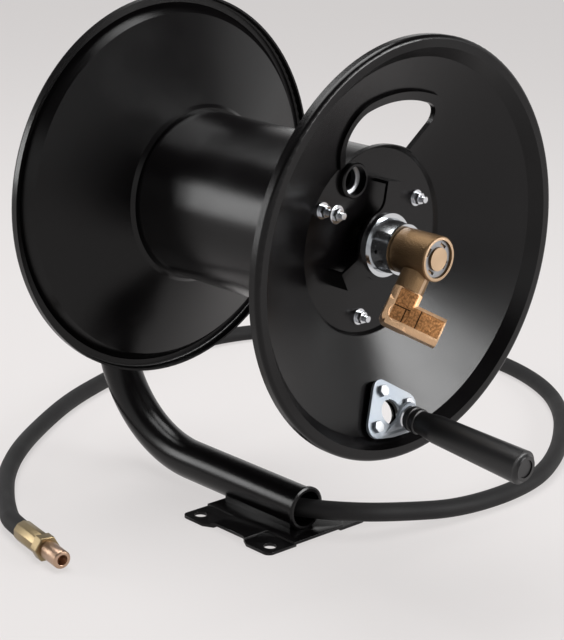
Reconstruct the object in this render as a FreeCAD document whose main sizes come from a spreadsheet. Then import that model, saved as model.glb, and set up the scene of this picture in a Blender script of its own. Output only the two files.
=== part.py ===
import math
import os

import FreeCAD
import Part
import Sketcher

# Hose reel on one bent tube: mm, +Z up, origin on the floor at the centre of the base hole pattern.
# The crank side faces -Y, and "w" below is the distance from the middle of the spool along +Y.

doc = FreeCAD.newDocument("HoseReel")
sheet = doc.addObject("Spreadsheet::Sheet", "Sizes")

SIZES = [
    ("axis_height", 304, "spool axis above the floor"),
    ("spool_mid", 6, "spool middle from the hole pattern centre"),
    ("sheet_gauge", 2, "flange sheet"),
    ("rim_radius", 190, "flange outer radius"),
    ("rim_face", 167, "flange lip face from the middle"),
    ("lip_depth", 10, "how far the lip is turned back"),
    ("lip_bend", 4, "bend radius of the lip"),
    ("lip_width", 10.7, "flat lip inside the rim"),
    ("rim_band", 9.3, "band between the lip and the cone"),
    ("cone_face", 156, "cone outer edge from the middle"),
    ("step_radius", 87, "inner edge of the cone"),
    ("step_face", 117, "cone inner edge from the middle"),
    ("step_width", 3, "step from the cone to the hub disc"),
    ("hub_face", 114, "hub disc face from the middle"),
    ("hub_hole", 20, "hole in each hub disc"),
    ("drum_inset", 2, "drum outside from the hub disc edge"),
    ("drum_gauge", 2, "drum sheet"),
    ("slot_inset", 1, "kidney slot inner edge from the step"),
    ("slot_depth", 42, "kidney slot along the radius"),
    ("slot_start", 65, "kidney slot right end, degrees"),
    ("slot_end", 121, "kidney slot left end, degrees"),
    ("slot_corner_right", 15, "kidney slot right corner"),
    ("slot_corner_left", 25, "kidney slot left corner"),
    ("slot_lip_width", 8, "raised lip round the kidney slot"),
    ("slot_lip_rise", 3, "raised lip above the cone"),
    ("slot_lip_swing", 4.2, "raised lip beyond the slot ends, degrees"),
    ("rod_radius", 3, "tie rods"),
    ("rod_a_inset", 19, "right rod from the hub disc edge"),
    ("rod_a_angle", 29.6, "right rod, degrees"),
    ("rod_b_inset", 9.3, "left rod, the long one, from the hub disc edge"),
    ("rod_b_angle", 150.7, "left rod, degrees"),
    ("rod_c_inset", 14.7, "lower rod from the hub disc edge"),
    ("rod_c_angle", 260.4, "lower rod, degrees"),
    ("rod_reach", 126.5, "rod ends from the middle"),
    ("rod_long_reach", 141, "long rod end from the middle"),
    ("nut_width", 10, "nut across flats"),
    ("nut_height", 5.5, "nut height"),
    ("washer_radius", 7.5, "rod washers"),
    ("washer_gauge", 1.6, "rod washers"),
    ("nut_flange_radius", 8.2, "flange of the outer nut"),
    ("nut_flange_gauge", 1.8, "flange of the outer nut"),
    ("flange_nut_seat", 131, "outer nut of the long rod from the middle"),
    ("spider_face", 132, "raised plate front from the middle"),
    ("spider_gauge", 3, "raised plate"),
    ("spider_reach", 57, "arm ends from the axis"),
    ("spider_half", 9, "half width of an arm"),
    ("spider_hub", 33, "raised plate round the cup"),
    ("spider_root", 13, "hollow corner between arm and plate"),
    ("spider_leg", 3, "thickness of the bent legs"),
    ("arm_a_angle", 82, "upper arm, degrees"),
    ("arm_b_angle", 208, "left arm, degrees"),
    ("arm_c_angle", 328, "right arm, degrees"),
    ("cup_flange_radius", 28.9, "bearing cup flange"),
    ("cup_flange_gauge", 2.7, "bearing cup flange"),
    ("cup_back_radius", 25, "cup wall at the flange"),
    ("cup_front_radius", 22, "cup wall at the front"),
    ("cup_rim_radius", 23, "cup front rim"),
    ("cup_front", 154, "cup front from the middle"),
    ("cup_gauge", 2.5, "cup wall thickness"),
    ("stem_radius", 10.5, "swivel stem"),
    ("stem_front", 194.5, "stem end from the middle"),
    ("stem_back", 126, "stem inner end from the middle"),
    ("stem_bore", 5, "water passage"),
    ("running_gap", 0.05, "radial clearance of a turning fit"),
    ("brass_radius", 20.4, "swivel body"),
    ("brass_back", 154.3, "swivel body back face from the middle"),
    ("brass_front", 194.5, "swivel body end face from the middle"),
    ("ring_seat_radius", 17, "snap ring seat"),
    ("ring_seat_depth", 4.5, "snap ring seat"),
    ("ring_gauge", 2, "snap ring"),
    ("ring_groove", 1.2, "depth of the ring grooves"),
    ("notch_level", 13, "notches of the snap ring from its middle"),
    ("notch_half_depth", 1.3, "notches of the snap ring"),
    ("notch_half_width", 4, "notches of the snap ring"),
    ("port_level", 178, "side port from the middle"),
    ("port_radius", 13, "side port boss"),
    ("port_swing", 33, "side port turned from straight down, degrees"),
    ("elbow_reach", 57, "elbow corner from the axis"),
    ("elbow_turn", 43, "elbow turned about its neck, degrees"),
    ("elbow_width", 26, "elbow across, side on"),
    ("elbow_gauge", 23, "elbow across, end on"),
    ("elbow_chamfer", 4.2, "elbow edges"),
    ("elbow_corner", 7, "elbow outer corner"),
    ("elbow_neck", 22, "elbow neck end from its corner"),
    ("elbow_length", 40.5, "elbow outlet from its corner"),
    ("elbow_relief", 0.7, "shallow pocket in the elbow sides"),
    ("elbow_bore", 8.3, "elbow thread"),
    ("elbow_thread", 16, "elbow thread depth"),
    ("pipe_radius", 6, "inner pipe"),
    ("pipe_bore", 4.5, "inner pipe"),
    ("pipe_level", 82, "inner pipe crossing from the middle"),
    ("pipe_bend", 10, "inner pipe bends"),
    ("outlet_inset", 18.3, "outlet port from the hub disc edge"),
    ("outlet_angle", 116.2, "outlet port, degrees"),
    ("outlet_radius", 14, "outlet port outside"),
    ("outlet_mouth", 13, "outlet port opening"),
    ("outlet_bore", 9.5, "outlet port thread"),
    ("outlet_ring_front", 111, "zinc ring in the outlet from the middle"),
    ("outlet_ring_back", 104, "zinc ring in the outlet from the middle"),
    ("outlet_back", 94, "outlet port inner end from the middle"),
    ("collar_radius", 16, "black collar round the outlet"),
    ("collar_height", 5, "black collar round the outlet"),
    ("spindle_radius", 12.5, "fixed spindle"),
    ("spindle_front", -74, "spindle inner end from the middle"),
    ("spindle_back", 290, "spindle threaded end from the middle"),
    ("bearing_radius", 20, "bearing housings"),
    ("bulkhead_face", 54, "inner bulkhead from the middle, to the front"),
    ("bulkhead_gauge", 4, "inner bulkhead"),
    ("hub_plate_radius", 52, "rear hub plate"),
    ("hub_plate_gauge", 4, "rear hub plate"),
    ("hub_bolt_inset", 10, "rear hub bolts from the edge of their plate"),
    ("hub_bolt_width", 10, "rear hub bolt heads across flats"),
    ("hub_bolt_height", 5, "rear hub bolt heads"),
    ("rear_bearing_end", 140, "rear bearing end from the middle"),
    ("boss_radius", 17, "spindle sleeve"),
    ("boss_front", 140.3, "spindle sleeve front from the middle"),
    ("boss_back", 270, "spindle sleeve back from the middle"),
    ("upright_level", 246, "upright from the spool middle"),
    ("arm_radius", 20, "arm tube outside"),
    ("arm_gauge", 2.5, "arm tube wall"),
    ("arm_rise", 25, "arm tube centre above the floor"),
    ("arm_bend", 130, "arm bend radius"),
    ("arm_mouth", -43.6, "arm mouth"),
    ("arm_top", 28, "arm end above the axis"),
    ("cap_edge", 2.5, "edge of the cap on the arm"),
    ("cap_rise", 5, "top of the cap on the arm"),
    ("mouth_ring_radius", 21.8, "bead round the mouth"),
    ("mouth_ring_length", 4.5, "bead round the mouth"),
    ("base_half_width", 67, "tabs of the base plate"),
    ("base_waist", 60, "base plate between the tabs"),
    ("base_half_length", 61.5, "base plate"),
    ("tab_inner", 31, "tab edge from the middle"),
    ("waist_end", 19, "waist edge from the middle"),
    ("base_gauge", 3, "base sheet"),
    ("base_corner", 7, "base corners"),
    ("raised_half", 24, "raised part between the tabs"),
    ("channel_half", 33, "raised channel"),
    ("channel_rise", 2, "raised channel"),
    ("hole_half_x", 53, "base hole from the centre"),
    ("hole_half_y", 49, "base hole from the centre"),
    ("hole_radius", 6.25, "base holes"),
    ("weld_start", -36, "weld line"),
    ("weld_length", 92, "weld line"),
    ("weld_inner", 6, "weld bead from the middle of the tube"),
    ("weld_outer", 14, "weld bead from the middle of the tube"),
    ("bracket_gauge", 3, "crank bracket"),
    ("spacer_gauge", 3, "plate under the bracket"),
    ("spacer_lift", 2.1, "gap under the spacer middle, over the hollow of the cone"),
    ("bracket_hole", 11.5, "large hole of the bracket"),
    ("bracket_hole_side", -6.1, "large hole"),
    ("bracket_hole_in", 19.2, "large hole from the outer edge of the cone"),
    ("flange_hole", 10.5, "hole of the flange behind the large hole"),
    ("bolt_a_side", -9.8, "upper bracket bolt"),
    ("bolt_a_in", 39.5, "upper bracket bolt from the outer edge of the cone"),
    ("bolt_b_side", 17.2, "right bracket bolt"),
    ("bolt_b_in", 21.9, "right bracket bolt"),
    ("bolt_c_side", -28.3, "lower bracket bolt"),
    ("bolt_c_in", 10, "lower bracket bolt"),
    ("bracket_corner", 10.5, "corner radius round the bolts"),
    ("small_bolt_radius", 3, "bracket bolts"),
    ("small_head_width", 10, "bracket bolt heads across flats"),
    ("small_head_height", 4, "bracket bolt heads"),
    ("shank_end", 12, "bracket bolt ends behind the cone face"),
    ("small_nut_end", 9.5, "bracket nut ends behind the cone face"),
    ("small_nut_height", 5, "bracket nuts"),
    ("bolt_hole", 3.6, "bolt holes in the cone"),
    ("handle_side", 8, "handle axis at the tab"),
    ("handle_in", 11.1, "handle axis from the outer edge of the cone"),
    ("handle_lift", 13, "handle axis off the cone"),
    ("handle_tilt", 3.8, "handle droop, degrees"),
    ("tab_radius", 13, "handle tab"),
    ("tab_left", 34, "handle tab, left end of its foot from the handle axis"),
    ("tab_side_drop", 14, "handle tab, left end of its foot below the axis"),
    ("tab_drop", 16.5, "handle tab, foot below the handle axis"),
    ("handle_washer_radius", 10.8, "washer at the tab"),
    ("handle_washer_gauge", 2.7, "washer at the tab"),
    ("handle_washer_edge", 1.6, "bevel round the front of the washer at the tab"),
    ("stud_radius", 5, "handle stud"),
    ("stud_length", 128.3, "handle stud under its head"),
    ("stud_head_radius", 7.4, "handle stud head"),
    ("stud_head_height", 4, "handle stud head"),
    ("grip_start", 3, "grip from the tab"),
    ("grip_neck", 10.5, "grip radius at the neck"),
    ("grip_rib", 11.8, "rings at the neck"),
    ("grip_flare", 13, "grip radius where the neck ends"),
    ("grip_flare_end", 36, "end of the neck from the tab"),
    ("grip_end_radius", 15.4, "grip radius at the end"),
    ("grip_length", 137, "grip end from the tab"),
    ("grip_recess", 8.2, "recess in the grip end"),
    ("grip_plug_gauge", 3, "plug in the grip end"),
    ("grip_plug_sink", 1.2, "plug below the grip end"),
    ("hose_radius", 9.25, "hose"),
    ("ferrule_radius", 10.8, "crimped ferrule"),
    ("ferrule_length", 24, "ferrule over the hose"),
    ("ferrule_nose", 14, "ferrule beyond the hose"),
    ("hose_nut_width", 22.5, "hose end nut across flats"),
    ("hose_nut_length", 11, "hose end nut"),
    ("nipple_radius", 8.8, "hose end thread"),
    ("nipple_length", 28.5, "hose end thread with its neck"),
    ("nipple_bore", 5, "hose end bore"),
    ("nipple_depth", 20.5, "hose end bore"),
    ("sheet_drill", 6, "length of the drills through one sheet"),
    ("deep_drill", 60, "length of the drills through a dish or a tube"),
]

for row, (alias, value, note) in enumerate(SIZES, start=1):
    sheet.set(f"A{row}", note)
    sheet.set(f"B{row}", str(value))
    sheet.setAlias(f"B{row}", alias)
doc.recompute()


class Size:
    # A number together with the expression that gives it.
    def __init__(self, value, text):
        self.value = float(value)
        self.text = text

    def __add__(self, other):
        other = asSize(other)
        return Size(self.value + other.value, f"({self.text} + {other.text})")

    __radd__ = __add__

    def __sub__(self, other):
        other = asSize(other)
        return Size(self.value - other.value, f"({self.text} - {other.text})")

    def __rsub__(self, other):
        return asSize(other) - self

    def __mul__(self, other):
        other = asSize(other)
        return Size(self.value * other.value, f"({self.text} * {other.text})")

    __rmul__ = __mul__

    def __truediv__(self, other):
        other = asSize(other)
        return Size(self.value / other.value, f"({self.text} / {other.text})")

    def __neg__(self):
        return Size(-self.value, f"(0 - {self.text})")


def asSize(value):
    if isinstance(value, Size):
        return value
    return Size(value, f"({value})" if value < 0 else f"{value}")


def cosine(angle):
    return Size(math.cos(math.radians(angle.value)), f"cos({angle.text})")


def sine(angle):
    return Size(math.sin(math.radians(angle.value)), f"sin({angle.text})")


S = {alias: Size(value, f"Sizes.{alias}") for alias, value, note in SIZES}


def squareRoot(value):
    return Size(math.sqrt(value.value), f"sqrt({value.text})")


# Sizes that follow from others
S["lip_radius"] = S["rim_radius"] - S["lip_width"]
S["cone_radius"] = S["lip_radius"] - S["rim_band"]
S["hub_radius"] = S["step_radius"] - S["step_width"]
S["drum_radius"] = S["hub_radius"] - S["drum_inset"]
S["slot_inner"] = S["step_radius"] + S["slot_inset"]
S["slot_outer"] = S["slot_inner"] + S["slot_depth"]
S["port_reach"] = S["elbow_reach"] - S["elbow_neck"]
for rod in ("rod_a", "rod_b", "rod_c", "outlet"):
    rodDistance = S["hub_radius"] - S[f"{rod}_inset"]
    S[f"{rod}_side"] = rodDistance * cosine(S[f"{rod}_angle"])
    S[f"{rod}_up"] = rodDistance * sine(S[f"{rod}_angle"])
slopeRise = S["cone_face"] - S["step_face"]
slopeRun = S["cone_radius"] - S["step_radius"]
slopeLength = squareRoot(slopeRise * slopeRise + slopeRun * slopeRun)
slopeAcross, slopeDown = slopeRise / slopeLength, slopeRun / slopeLength
for spot in ("bracket_hole", "bolt_a", "bolt_b", "bolt_c", "handle"):
    S[f"{spot}_down"] = slopeLength - S[f"{spot}_in"]
handleOut = S["handle_down"] * slopeAcross + S["handle_lift"] * slopeDown
S["handle_level"] = -(S["step_face"] + handleOut)
S["handle_drop"] = S["handle_lift"] * slopeAcross - S["step_radius"] - S["handle_down"] * slopeDown
S["hose_end_rise"] = S["hose_nut_width"] / 2

nodes = []


def bind(thing, path, size):
    size = asSize(size)
    if "Sizes" in size.text:
        thing.setExpression(path, size.text)


def place(thing, x, y, z, axis=None, angle=0):
    x, y, z, angle = asSize(x), asSize(y), asSize(z), asSize(angle)
    turn = FreeCAD.Rotation(FreeCAD.Vector(*axis), angle.value) if axis else FreeCAD.Rotation()
    thing.Placement = FreeCAD.Placement(FreeCAD.Vector(x.value, y.value, z.value), turn)
    bind(thing, "Placement.Base.x", x)
    bind(thing, "Placement.Base.y", y)
    bind(thing, "Placement.Base.z", z)
    if axis:
        bind(thing, "Placement.Rotation.Angle", angle)


def node(label, thing):
    thing.Label = label
    nodes.append((label, thing))
    return thing


def newBody(name):
    body = doc.addObject("PartDesign::Body", name)
    body.AllowCompound = True
    return body


def newSketch(body, plane, name, offset=0, shift=(0, 0), tilt=0):
    offset, tilt = asSize(offset), asSize(tilt)
    over, up = asSize(shift[0]), asSize(shift[1])
    sketch = body.newObject("Sketcher::SketchObject", f"{body.Name}_{name}")
    support = [f for f in body.Origin.OriginFeatures if f.Role == plane][0]
    sketch.AttachmentSupport = [(support, "")]
    sketch.MapMode = "FlatFace"
    sketch.AttachmentOffset = FreeCAD.Placement(
        FreeCAD.Vector(over.value, up.value, offset.value),
        FreeCAD.Rotation(FreeCAD.Vector(1, 0, 0), tilt.value),
    )
    bind(sketch, "AttachmentOffset.Base.x", over)
    bind(sketch, "AttachmentOffset.Base.y", up)
    bind(sketch, "AttachmentOffset.Base.z", offset)
    if tilt.value:
        bind(sketch, "AttachmentOffset.Rotation.Angle", tilt)
    return sketch


def constrain(sketch, kind, *rest, size=None):
    index = sketch.addConstraint(Sketcher.Constraint(kind, *rest))
    if size is not None:
        bind(sketch, f"Constraints[{index}]", size)
    return index


def locate(sketch, geometry, end, u, v):
    if u.value == 0:
        constrain(sketch, "PointOnObject", geometry, end, -2)
    else:
        constrain(sketch, "DistanceX", -1, 1, geometry, end, u.value, size=u)
    if v.value == 0:
        constrain(sketch, "PointOnObject", geometry, end, -1)
    else:
        constrain(sketch, "DistanceY", -1, 1, geometry, end, v.value, size=v)


def outline(sketch, points):
    # Each point is (u, v) or (u, v, radius). A radius makes the side that leaves the point an arc,
    # with its centre to the left for a plus sign and to the right for a minus sign.
    corners = [(asSize(p[0]), asSize(p[1]), asSize(p[2]) if len(p) > 2 else None) for p in points]
    ends = []
    for here, after in zip(corners, corners[1:] + corners[:1]):
        start = FreeCAD.Vector(here[0].value, here[1].value, 0)
        stop = FreeCAD.Vector(after[0].value, after[1].value, 0)
        if here[2] is None:
            side = sketch.addGeometry(Part.LineSegment(start, stop))
            ends.append((side, 1, 2))
            continue
        radius = abs(here[2].value)
        chord = stop - start
        half = chord.Length / 2
        left = FreeCAD.Vector(-chord.y, chord.x, 0).normalize()
        toCentre = math.sqrt(max(radius**2 - half**2, 0))
        centre = (start + stop) / 2 + left * (toCentre if here[2].value > 0 else -toCentre)
        first, last = (start, stop) if here[2].value > 0 else (stop, start)
        fromAngle = math.atan2(first.y - centre.y, first.x - centre.x)
        toAngle = math.atan2(last.y - centre.y, last.x - centre.x)
        while toAngle <= fromAngle:
            toAngle += 2 * math.pi
        circle = Part.Circle(centre, FreeCAD.Vector(0, 0, 1), radius)
        side = sketch.addGeometry(Part.ArcOfCircle(circle, fromAngle, toAngle))
        ends.append((side, 1, 2) if here[2].value > 0 else (side, 2, 1))
    for index, (side, start, stop) in enumerate(ends):
        following = ends[(index + 1) % len(ends)]
        constrain(sketch, "Coincident", side, stop, following[0], following[1])
        locate(sketch, side, start, corners[index][0], corners[index][1])
        if corners[index][2] is not None:
            size = corners[index][2]
            size = size if size.value > 0 else -size
            constrain(sketch, "Radius", side, size.value, size=size)


def circle(sketch, u, v, radius):
    u, v, radius = asSize(u), asSize(v), asSize(radius)
    centre = FreeCAD.Vector(u.value, v.value, 0)
    side = sketch.addGeometry(Part.Circle(centre, FreeCAD.Vector(0, 0, 1), radius.value))
    locate(sketch, side, 3, u, v)
    constrain(sketch, "Radius", side, radius.value, size=radius)


def hexagon(sketch, u, v, width):
    u, v, width = asSize(u), asSize(v), asSize(width)
    corner = width / math.sqrt(3)
    points = []
    for step in range(6):
        angle = math.radians(60 * step)
        points.append(
            (u + corner * round(math.cos(angle), 9), v + corner * round(math.sin(angle), 9))
        )
    outline(sketch, points)


def revolve(body, sketch, name="Turned", groove=False, axis="H_Axis"):
    kind = "PartDesign::Groove" if groove else "PartDesign::Revolution"
    turned = body.newObject(kind, f"{body.Name}_{name}")
    turned.Profile = (sketch, [""])
    turned.ReferenceAxis = (sketch, [axis])
    turned.Angle = 360
    sketch.Visibility = False
    return turned


def pad(body, sketch, length, name="Pad", back=False, both=False, cut=False):
    kind = "PartDesign::Pocket" if cut else "PartDesign::Pad"
    grown = body.newObject(kind, f"{body.Name}_{name}")
    grown.Profile = (sketch, [""])
    length = asSize(length)
    grown.Length = length.value
    bind(grown, "Length", length)
    grown.Reversed = back
    if both:
        grown.SideType = "Symmetric"
    sketch.Visibility = False
    return grown


def spoolBody(label, side=0, up=0, axis=None, angle=0):
    body = newBody(label)
    place(body, side, S["spool_mid"], S["axis_height"] + up, axis, angle)
    return body


def turnedPart(label, points, side=0, up=0):
    # The profile is given as (w, radius) pairs and turned about a line along Y.
    body = spoolBody(label, side, up)
    profile = newSketch(body, "YZ_Plane", "Profile")
    outline(profile, points)
    revolve(body, profile)
    return node(label, body)


def flangePoints(sign):
    gauge = S["sheet_gauge"]
    front = [
        (S["hub_face"], S["hub_hole"]),
        (S["hub_face"], S["hub_radius"]),
        (S["step_face"], S["step_radius"]),
        (S["cone_face"], S["cone_radius"]),
        (S["rim_face"], S["lip_radius"]),
        (S["rim_face"], S["rim_radius"] - S["lip_bend"], S["lip_bend"]),
        (S["rim_face"] - S["lip_bend"], S["rim_radius"]),
        (S["rim_face"] - S["lip_depth"], S["rim_radius"]),
        (S["rim_face"] - S["lip_depth"], S["rim_radius"] - gauge),
        (S["rim_face"] - S["lip_bend"], S["rim_radius"] - gauge, -(S["lip_bend"] - gauge)),
        (S["rim_face"] - gauge, S["rim_radius"] - S["lip_bend"]),
        (S["rim_face"] - gauge, S["lip_radius"] + gauge * 0.465),
        (S["cone_face"] - gauge * 0.83, S["cone_radius"] + gauge * 0.605),
        (S["step_face"] - gauge * 0.835, S["step_radius"] + gauge * 0.575),
        (S["hub_face"] - gauge, S["hub_radius"] + gauge * 0.415),
        (S["hub_face"] - gauge, S["hub_hole"]),
    ]
    flipped = []
    for point in front:
        w = point[0] if sign > 0 else -point[0]
        if len(point) == 3:
            # The turning sense of an arc swaps with the side of the spool.
            flipped.append((w, point[1], point[2] if sign > 0 else -point[2]))
        else:
            flipped.append((w, point[1]))
    return flipped


# Slope frame: origin where the cone starts below the axis, X to the right, Y up the slope and
# Z square to the cone on the crank side.
slopeAngle = Size(
    90 - math.degrees(math.atan(slopeRise.value / slopeRun.value)),
    f"(90 - atan({slopeRise.text} / {slopeRun.text}) / 1deg)",
)


def slopeBody(label):
    body = newBody(label)
    level = S["spool_mid"] - S["step_face"]
    place(body, 0, level, S["axis_height"] - S["step_radius"], (1, 0, 0), slopeAngle)
    return body


# Spool: drum and the two dished flanges

turnedPart(
    "drum",
    [
        (S["hub_face"] - S["sheet_gauge"], S["drum_radius"]),
        (S["sheet_gauge"] - S["hub_face"], S["drum_radius"]),
        (S["sheet_gauge"] - S["hub_face"], S["drum_radius"] - S["drum_gauge"]),
        (S["hub_face"] - S["sheet_gauge"], S["drum_radius"] - S["drum_gauge"]),
    ],
)

frontFlange = turnedPart("front_flange", flangePoints(-1))
rearFlange = turnedPart("rear_flange", flangePoints(1))


def radialPoint(radius, angle):
    return FreeCAD.Vector(radius * math.cos(angle), radius * math.sin(angle), 0)


def kidneyOutline(sketch, inner, outer, start, end, cornerR, cornerL):
    # Two radial sides, an inner and an outer arc about the spool axis and two round outer corners.
    right, left = math.radians(start.value), math.radians(end.value)
    swingR = math.asin(cornerR.value / (outer.value - cornerR.value))
    swingL = math.asin(cornerL.value / (outer.value - cornerL.value))
    centreR = radialPoint(outer.value - cornerR.value, right + swingR)
    centreL = radialPoint(outer.value - cornerL.value, left - swingL)
    alongR = math.sqrt((outer.value - cornerR.value) ** 2 - cornerR.value**2)
    alongL = math.sqrt((outer.value - cornerL.value) ** 2 - cornerL.value**2)
    up, zero = FreeCAD.Vector(0, 0, 1), FreeCAD.Vector(0, 0, 0)

    def arc(centre, radius, fromAngle, toAngle):
        bow = Part.Circle(centre, up, radius)
        return sketch.addGeometry(Part.ArcOfCircle(bow, fromAngle, toAngle))

    def line(start, stop, guide=False):
        return sketch.addGeometry(Part.LineSegment(start, stop), guide)

    sideR = line(radialPoint(inner.value, right), radialPoint(alongR, right))
    roundR = arc(centreR, cornerR.value, right - math.pi / 2, right + swingR)
    outerArc = arc(zero, outer.value, right + swingR, left - swingL)
    roundL = arc(centreL, cornerL.value, left - swingL, left + math.pi / 2)
    sideL = line(radialPoint(alongL, left), radialPoint(inner.value, left))
    innerArc = arc(zero, inner.value, right, left)
    constrain(sketch, "Tangent", sideR, 2, roundR, 1)
    constrain(sketch, "Tangent", roundR, 2, outerArc, 1)
    constrain(sketch, "Tangent", outerArc, 2, roundL, 1)
    constrain(sketch, "Tangent", roundL, 2, sideL, 1)
    constrain(sketch, "Coincident", sideL, 2, innerArc, 2)
    constrain(sketch, "Coincident", sideR, 1, innerArc, 1)
    constrain(sketch, "Coincident", innerArc, 3, -1, 1)
    constrain(sketch, "Coincident", outerArc, 3, -1, 1)
    constrain(sketch, "PointOnObject", -1, 1, sideR)
    constrain(sketch, "PointOnObject", -1, 1, sideL)
    constrain(sketch, "Radius", innerArc, inner.value, size=inner)
    constrain(sketch, "Radius", outerArc, outer.value, size=outer)
    constrain(sketch, "Radius", roundR, cornerR.value, size=cornerR)
    constrain(sketch, "Radius", roundL, cornerL.value, size=cornerL)
    constrain(sketch, "Angle", sideR, right, size=start)
    turn = line(zero, radialPoint(inner.value, left), guide=True)
    constrain(sketch, "Coincident", turn, 1, -1, 1)
    constrain(sketch, "Coincident", turn, 2, innerArc, 2)
    constrain(sketch, "Angle", turn, left, size=end)


def slotShape(sketch):
    kidneyOutline(
        sketch,
        S["slot_inner"],
        S["slot_outer"],
        S["slot_start"],
        S["slot_end"],
        S["slot_corner_right"],
        S["slot_corner_left"],
    )


slot = newSketch(frontFlange, "XZ_Plane", "Slot", offset=S["step_face"])
slotShape(slot)
pad(frontFlange, slot, S["deep_drill"] * 1.5, "Slot", both=True, cut=True)

# Raised lip along the left, outer and right sides of the slot: a band on the cone, cut out
# by the slot and trimmed to an outline wider by the lip
lipRise = S["slot_lip_rise"] / slopeDown
lipEnd = S["slot_outer"] + S["slot_lip_width"] + S["slot_lip_rise"]
lipLevel = S["step_face"] + (lipEnd - S["step_radius"]) * slopeRise / slopeRun
clear = 0.02
slotLip = turnedPart(
    "slot_lip",
    [
        (-S["step_face"] - clear, S["step_radius"]),
        (-lipLevel - clear, lipEnd),
        (-lipLevel - lipRise, lipEnd),
        (-S["step_face"] - lipRise, S["step_radius"]),
    ],
)
lipHole = newSketch(slotLip, "XZ_Plane", "Hole", offset=S["step_face"])
slotShape(lipHole)
pad(slotLip, lipHole, S["deep_drill"] * 1.5, "Hole", both=True, cut=True)
lipTrim = newSketch(slotLip, "XZ_Plane", "Trim", offset=S["step_face"])
circle(lipTrim, 0, 0, S["rim_radius"])
kidneyOutline(
    lipTrim,
    S["step_radius"] - 1,
    S["slot_outer"] + S["slot_lip_width"],
    S["slot_start"] - S["slot_lip_swing"],
    S["slot_end"] + S["slot_lip_swing"],
    S["slot_corner_right"] + S["slot_lip_width"],
    S["slot_corner_left"] + S["slot_lip_width"],
)
pad(slotLip, lipTrim, S["deep_drill"] * 1.5, "Trim", both=True, cut=True)

# Holes of the front hub disc, and the one behind the crank bracket
rods = [("rod_a_side", "rod_a_up"), ("rod_b_side", "rod_b_up"), ("rod_c_side", "rod_c_up")]


def drill(body, name, level, depth, holes):
    # The holes run along Y, both ways from the level, each as (side, up, radius).
    sketch = newSketch(body, "XZ_Plane", name, offset=-asSize(level))
    for side, rise, radius in holes:
        circle(sketch, side, rise, radius)
    return pad(body, sketch, depth, name, both=True, cut=True)


rodHoles = [(S[side], S[rise], S["rod_radius"]) for side, rise in rods]
drill(
    frontFlange,
    "HubHoles",
    -S["hub_face"],
    S["sheet_drill"],
    rodHoles + [(S["outlet_side"], S["outlet_up"], S["outlet_radius"])],
)
drill(rearFlange, "HubHoles", S["hub_face"], S["sheet_drill"], rodHoles)
bracketHoleUp = -(S["step_radius"] + S["bracket_hole_down"] * slopeDown)
drill(
    frontFlange,
    "BracketHole",
    -S["cone_face"],
    S["deep_drill"],
    [(S["bracket_hole_side"], bracketHoleUp, S["flange_hole"])],
)

# Raised plate with three bent arms that stands off the hub disc
spider = spoolBody("hub_spider")
plate = newSketch(
    spider, "XZ_Plane", "Plate", offset=S["spider_face"] - S["spider_gauge"]
)
armAngles = [S["arm_a_angle"], S["arm_b_angle"], S["arm_c_angle"]]
reach, half, ring = S["spider_reach"], S["spider_half"], S["spider_hub"]
hollowR = S["spider_root"]
rootAlong = squareRoot((ring + hollowR) * (ring + hollowR) - (half + hollowR) * (half + hollowR))
ringAlong = ring * rootAlong / (ring + hollowR)
ringSide = ring * (half + hollowR) / (ring + hollowR)


def armPoint(angle, along, side):
    c, s = cosine(angle), sine(angle)
    return along * c - side * s, along * s + side * c


points = []
for angle in armAngles:
    points.append(armPoint(angle, ringAlong, -ringSide) + (-hollowR,))
    points.append(armPoint(angle, rootAlong, -half))
    points.append(armPoint(angle, reach, -half))
    points.append(armPoint(angle, reach, half))
    points.append(armPoint(angle, rootAlong, half) + (-hollowR,))
    points.append(armPoint(angle, ringAlong, ringSide) + (ring,))
outline(plate, points)
circle(plate, 0, 0, S["stem_radius"])
pad(spider, plate, S["spider_gauge"], "Plate")
legs = newSketch(spider, "XZ_Plane", "Legs", offset=S["hub_face"])
near = reach - S["spider_leg"]
for angle in armAngles:
    outline(
        legs,
        [
            armPoint(angle, near, -half),
            armPoint(angle, reach, -half),
            armPoint(angle, reach, half),
            armPoint(angle, near, half),
        ],
    )
pad(spider, legs, S["spider_face"] - S["hub_face"] - 0.5, "Legs")
node("hub_spider", spider)


def rodsAlong(label, spans, radius):
    # One cylinder along Y for each span, given as (side, up, from w, to w).
    pieces = []
    for side, rise, start, stop in spans:
        piece = doc.addObject("Part::Cylinder", f"{label}_bar")
        length = asSize(stop) - asSize(start)
        piece.Radius = asSize(radius).value
        bind(piece, "Radius", radius)
        piece.Height = length.value
        bind(piece, "Height", length)
        place(
            piece,
            side,
            S["spool_mid"] + start,
            S["axis_height"] + rise,
            (1, 0, 0),
            -90,
        )
        pieces.append(piece)
    joined = doc.addObject("Part::Compound", label)
    joined.Links = pieces
    return joined


front = -S["rod_reach"]
node(
    "tie_rods",
    rodsAlong(
        "tie_rods",
        [
            (S["rod_a_side"], S["rod_a_up"], front, S["rod_reach"]),
            (S["rod_b_side"], S["rod_b_up"], -S["rod_long_reach"], S["rod_reach"]),
            (S["rod_c_side"], S["rod_c_up"], front, S["rod_reach"]),
        ],
        S["rod_radius"],
    ),
)


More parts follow.
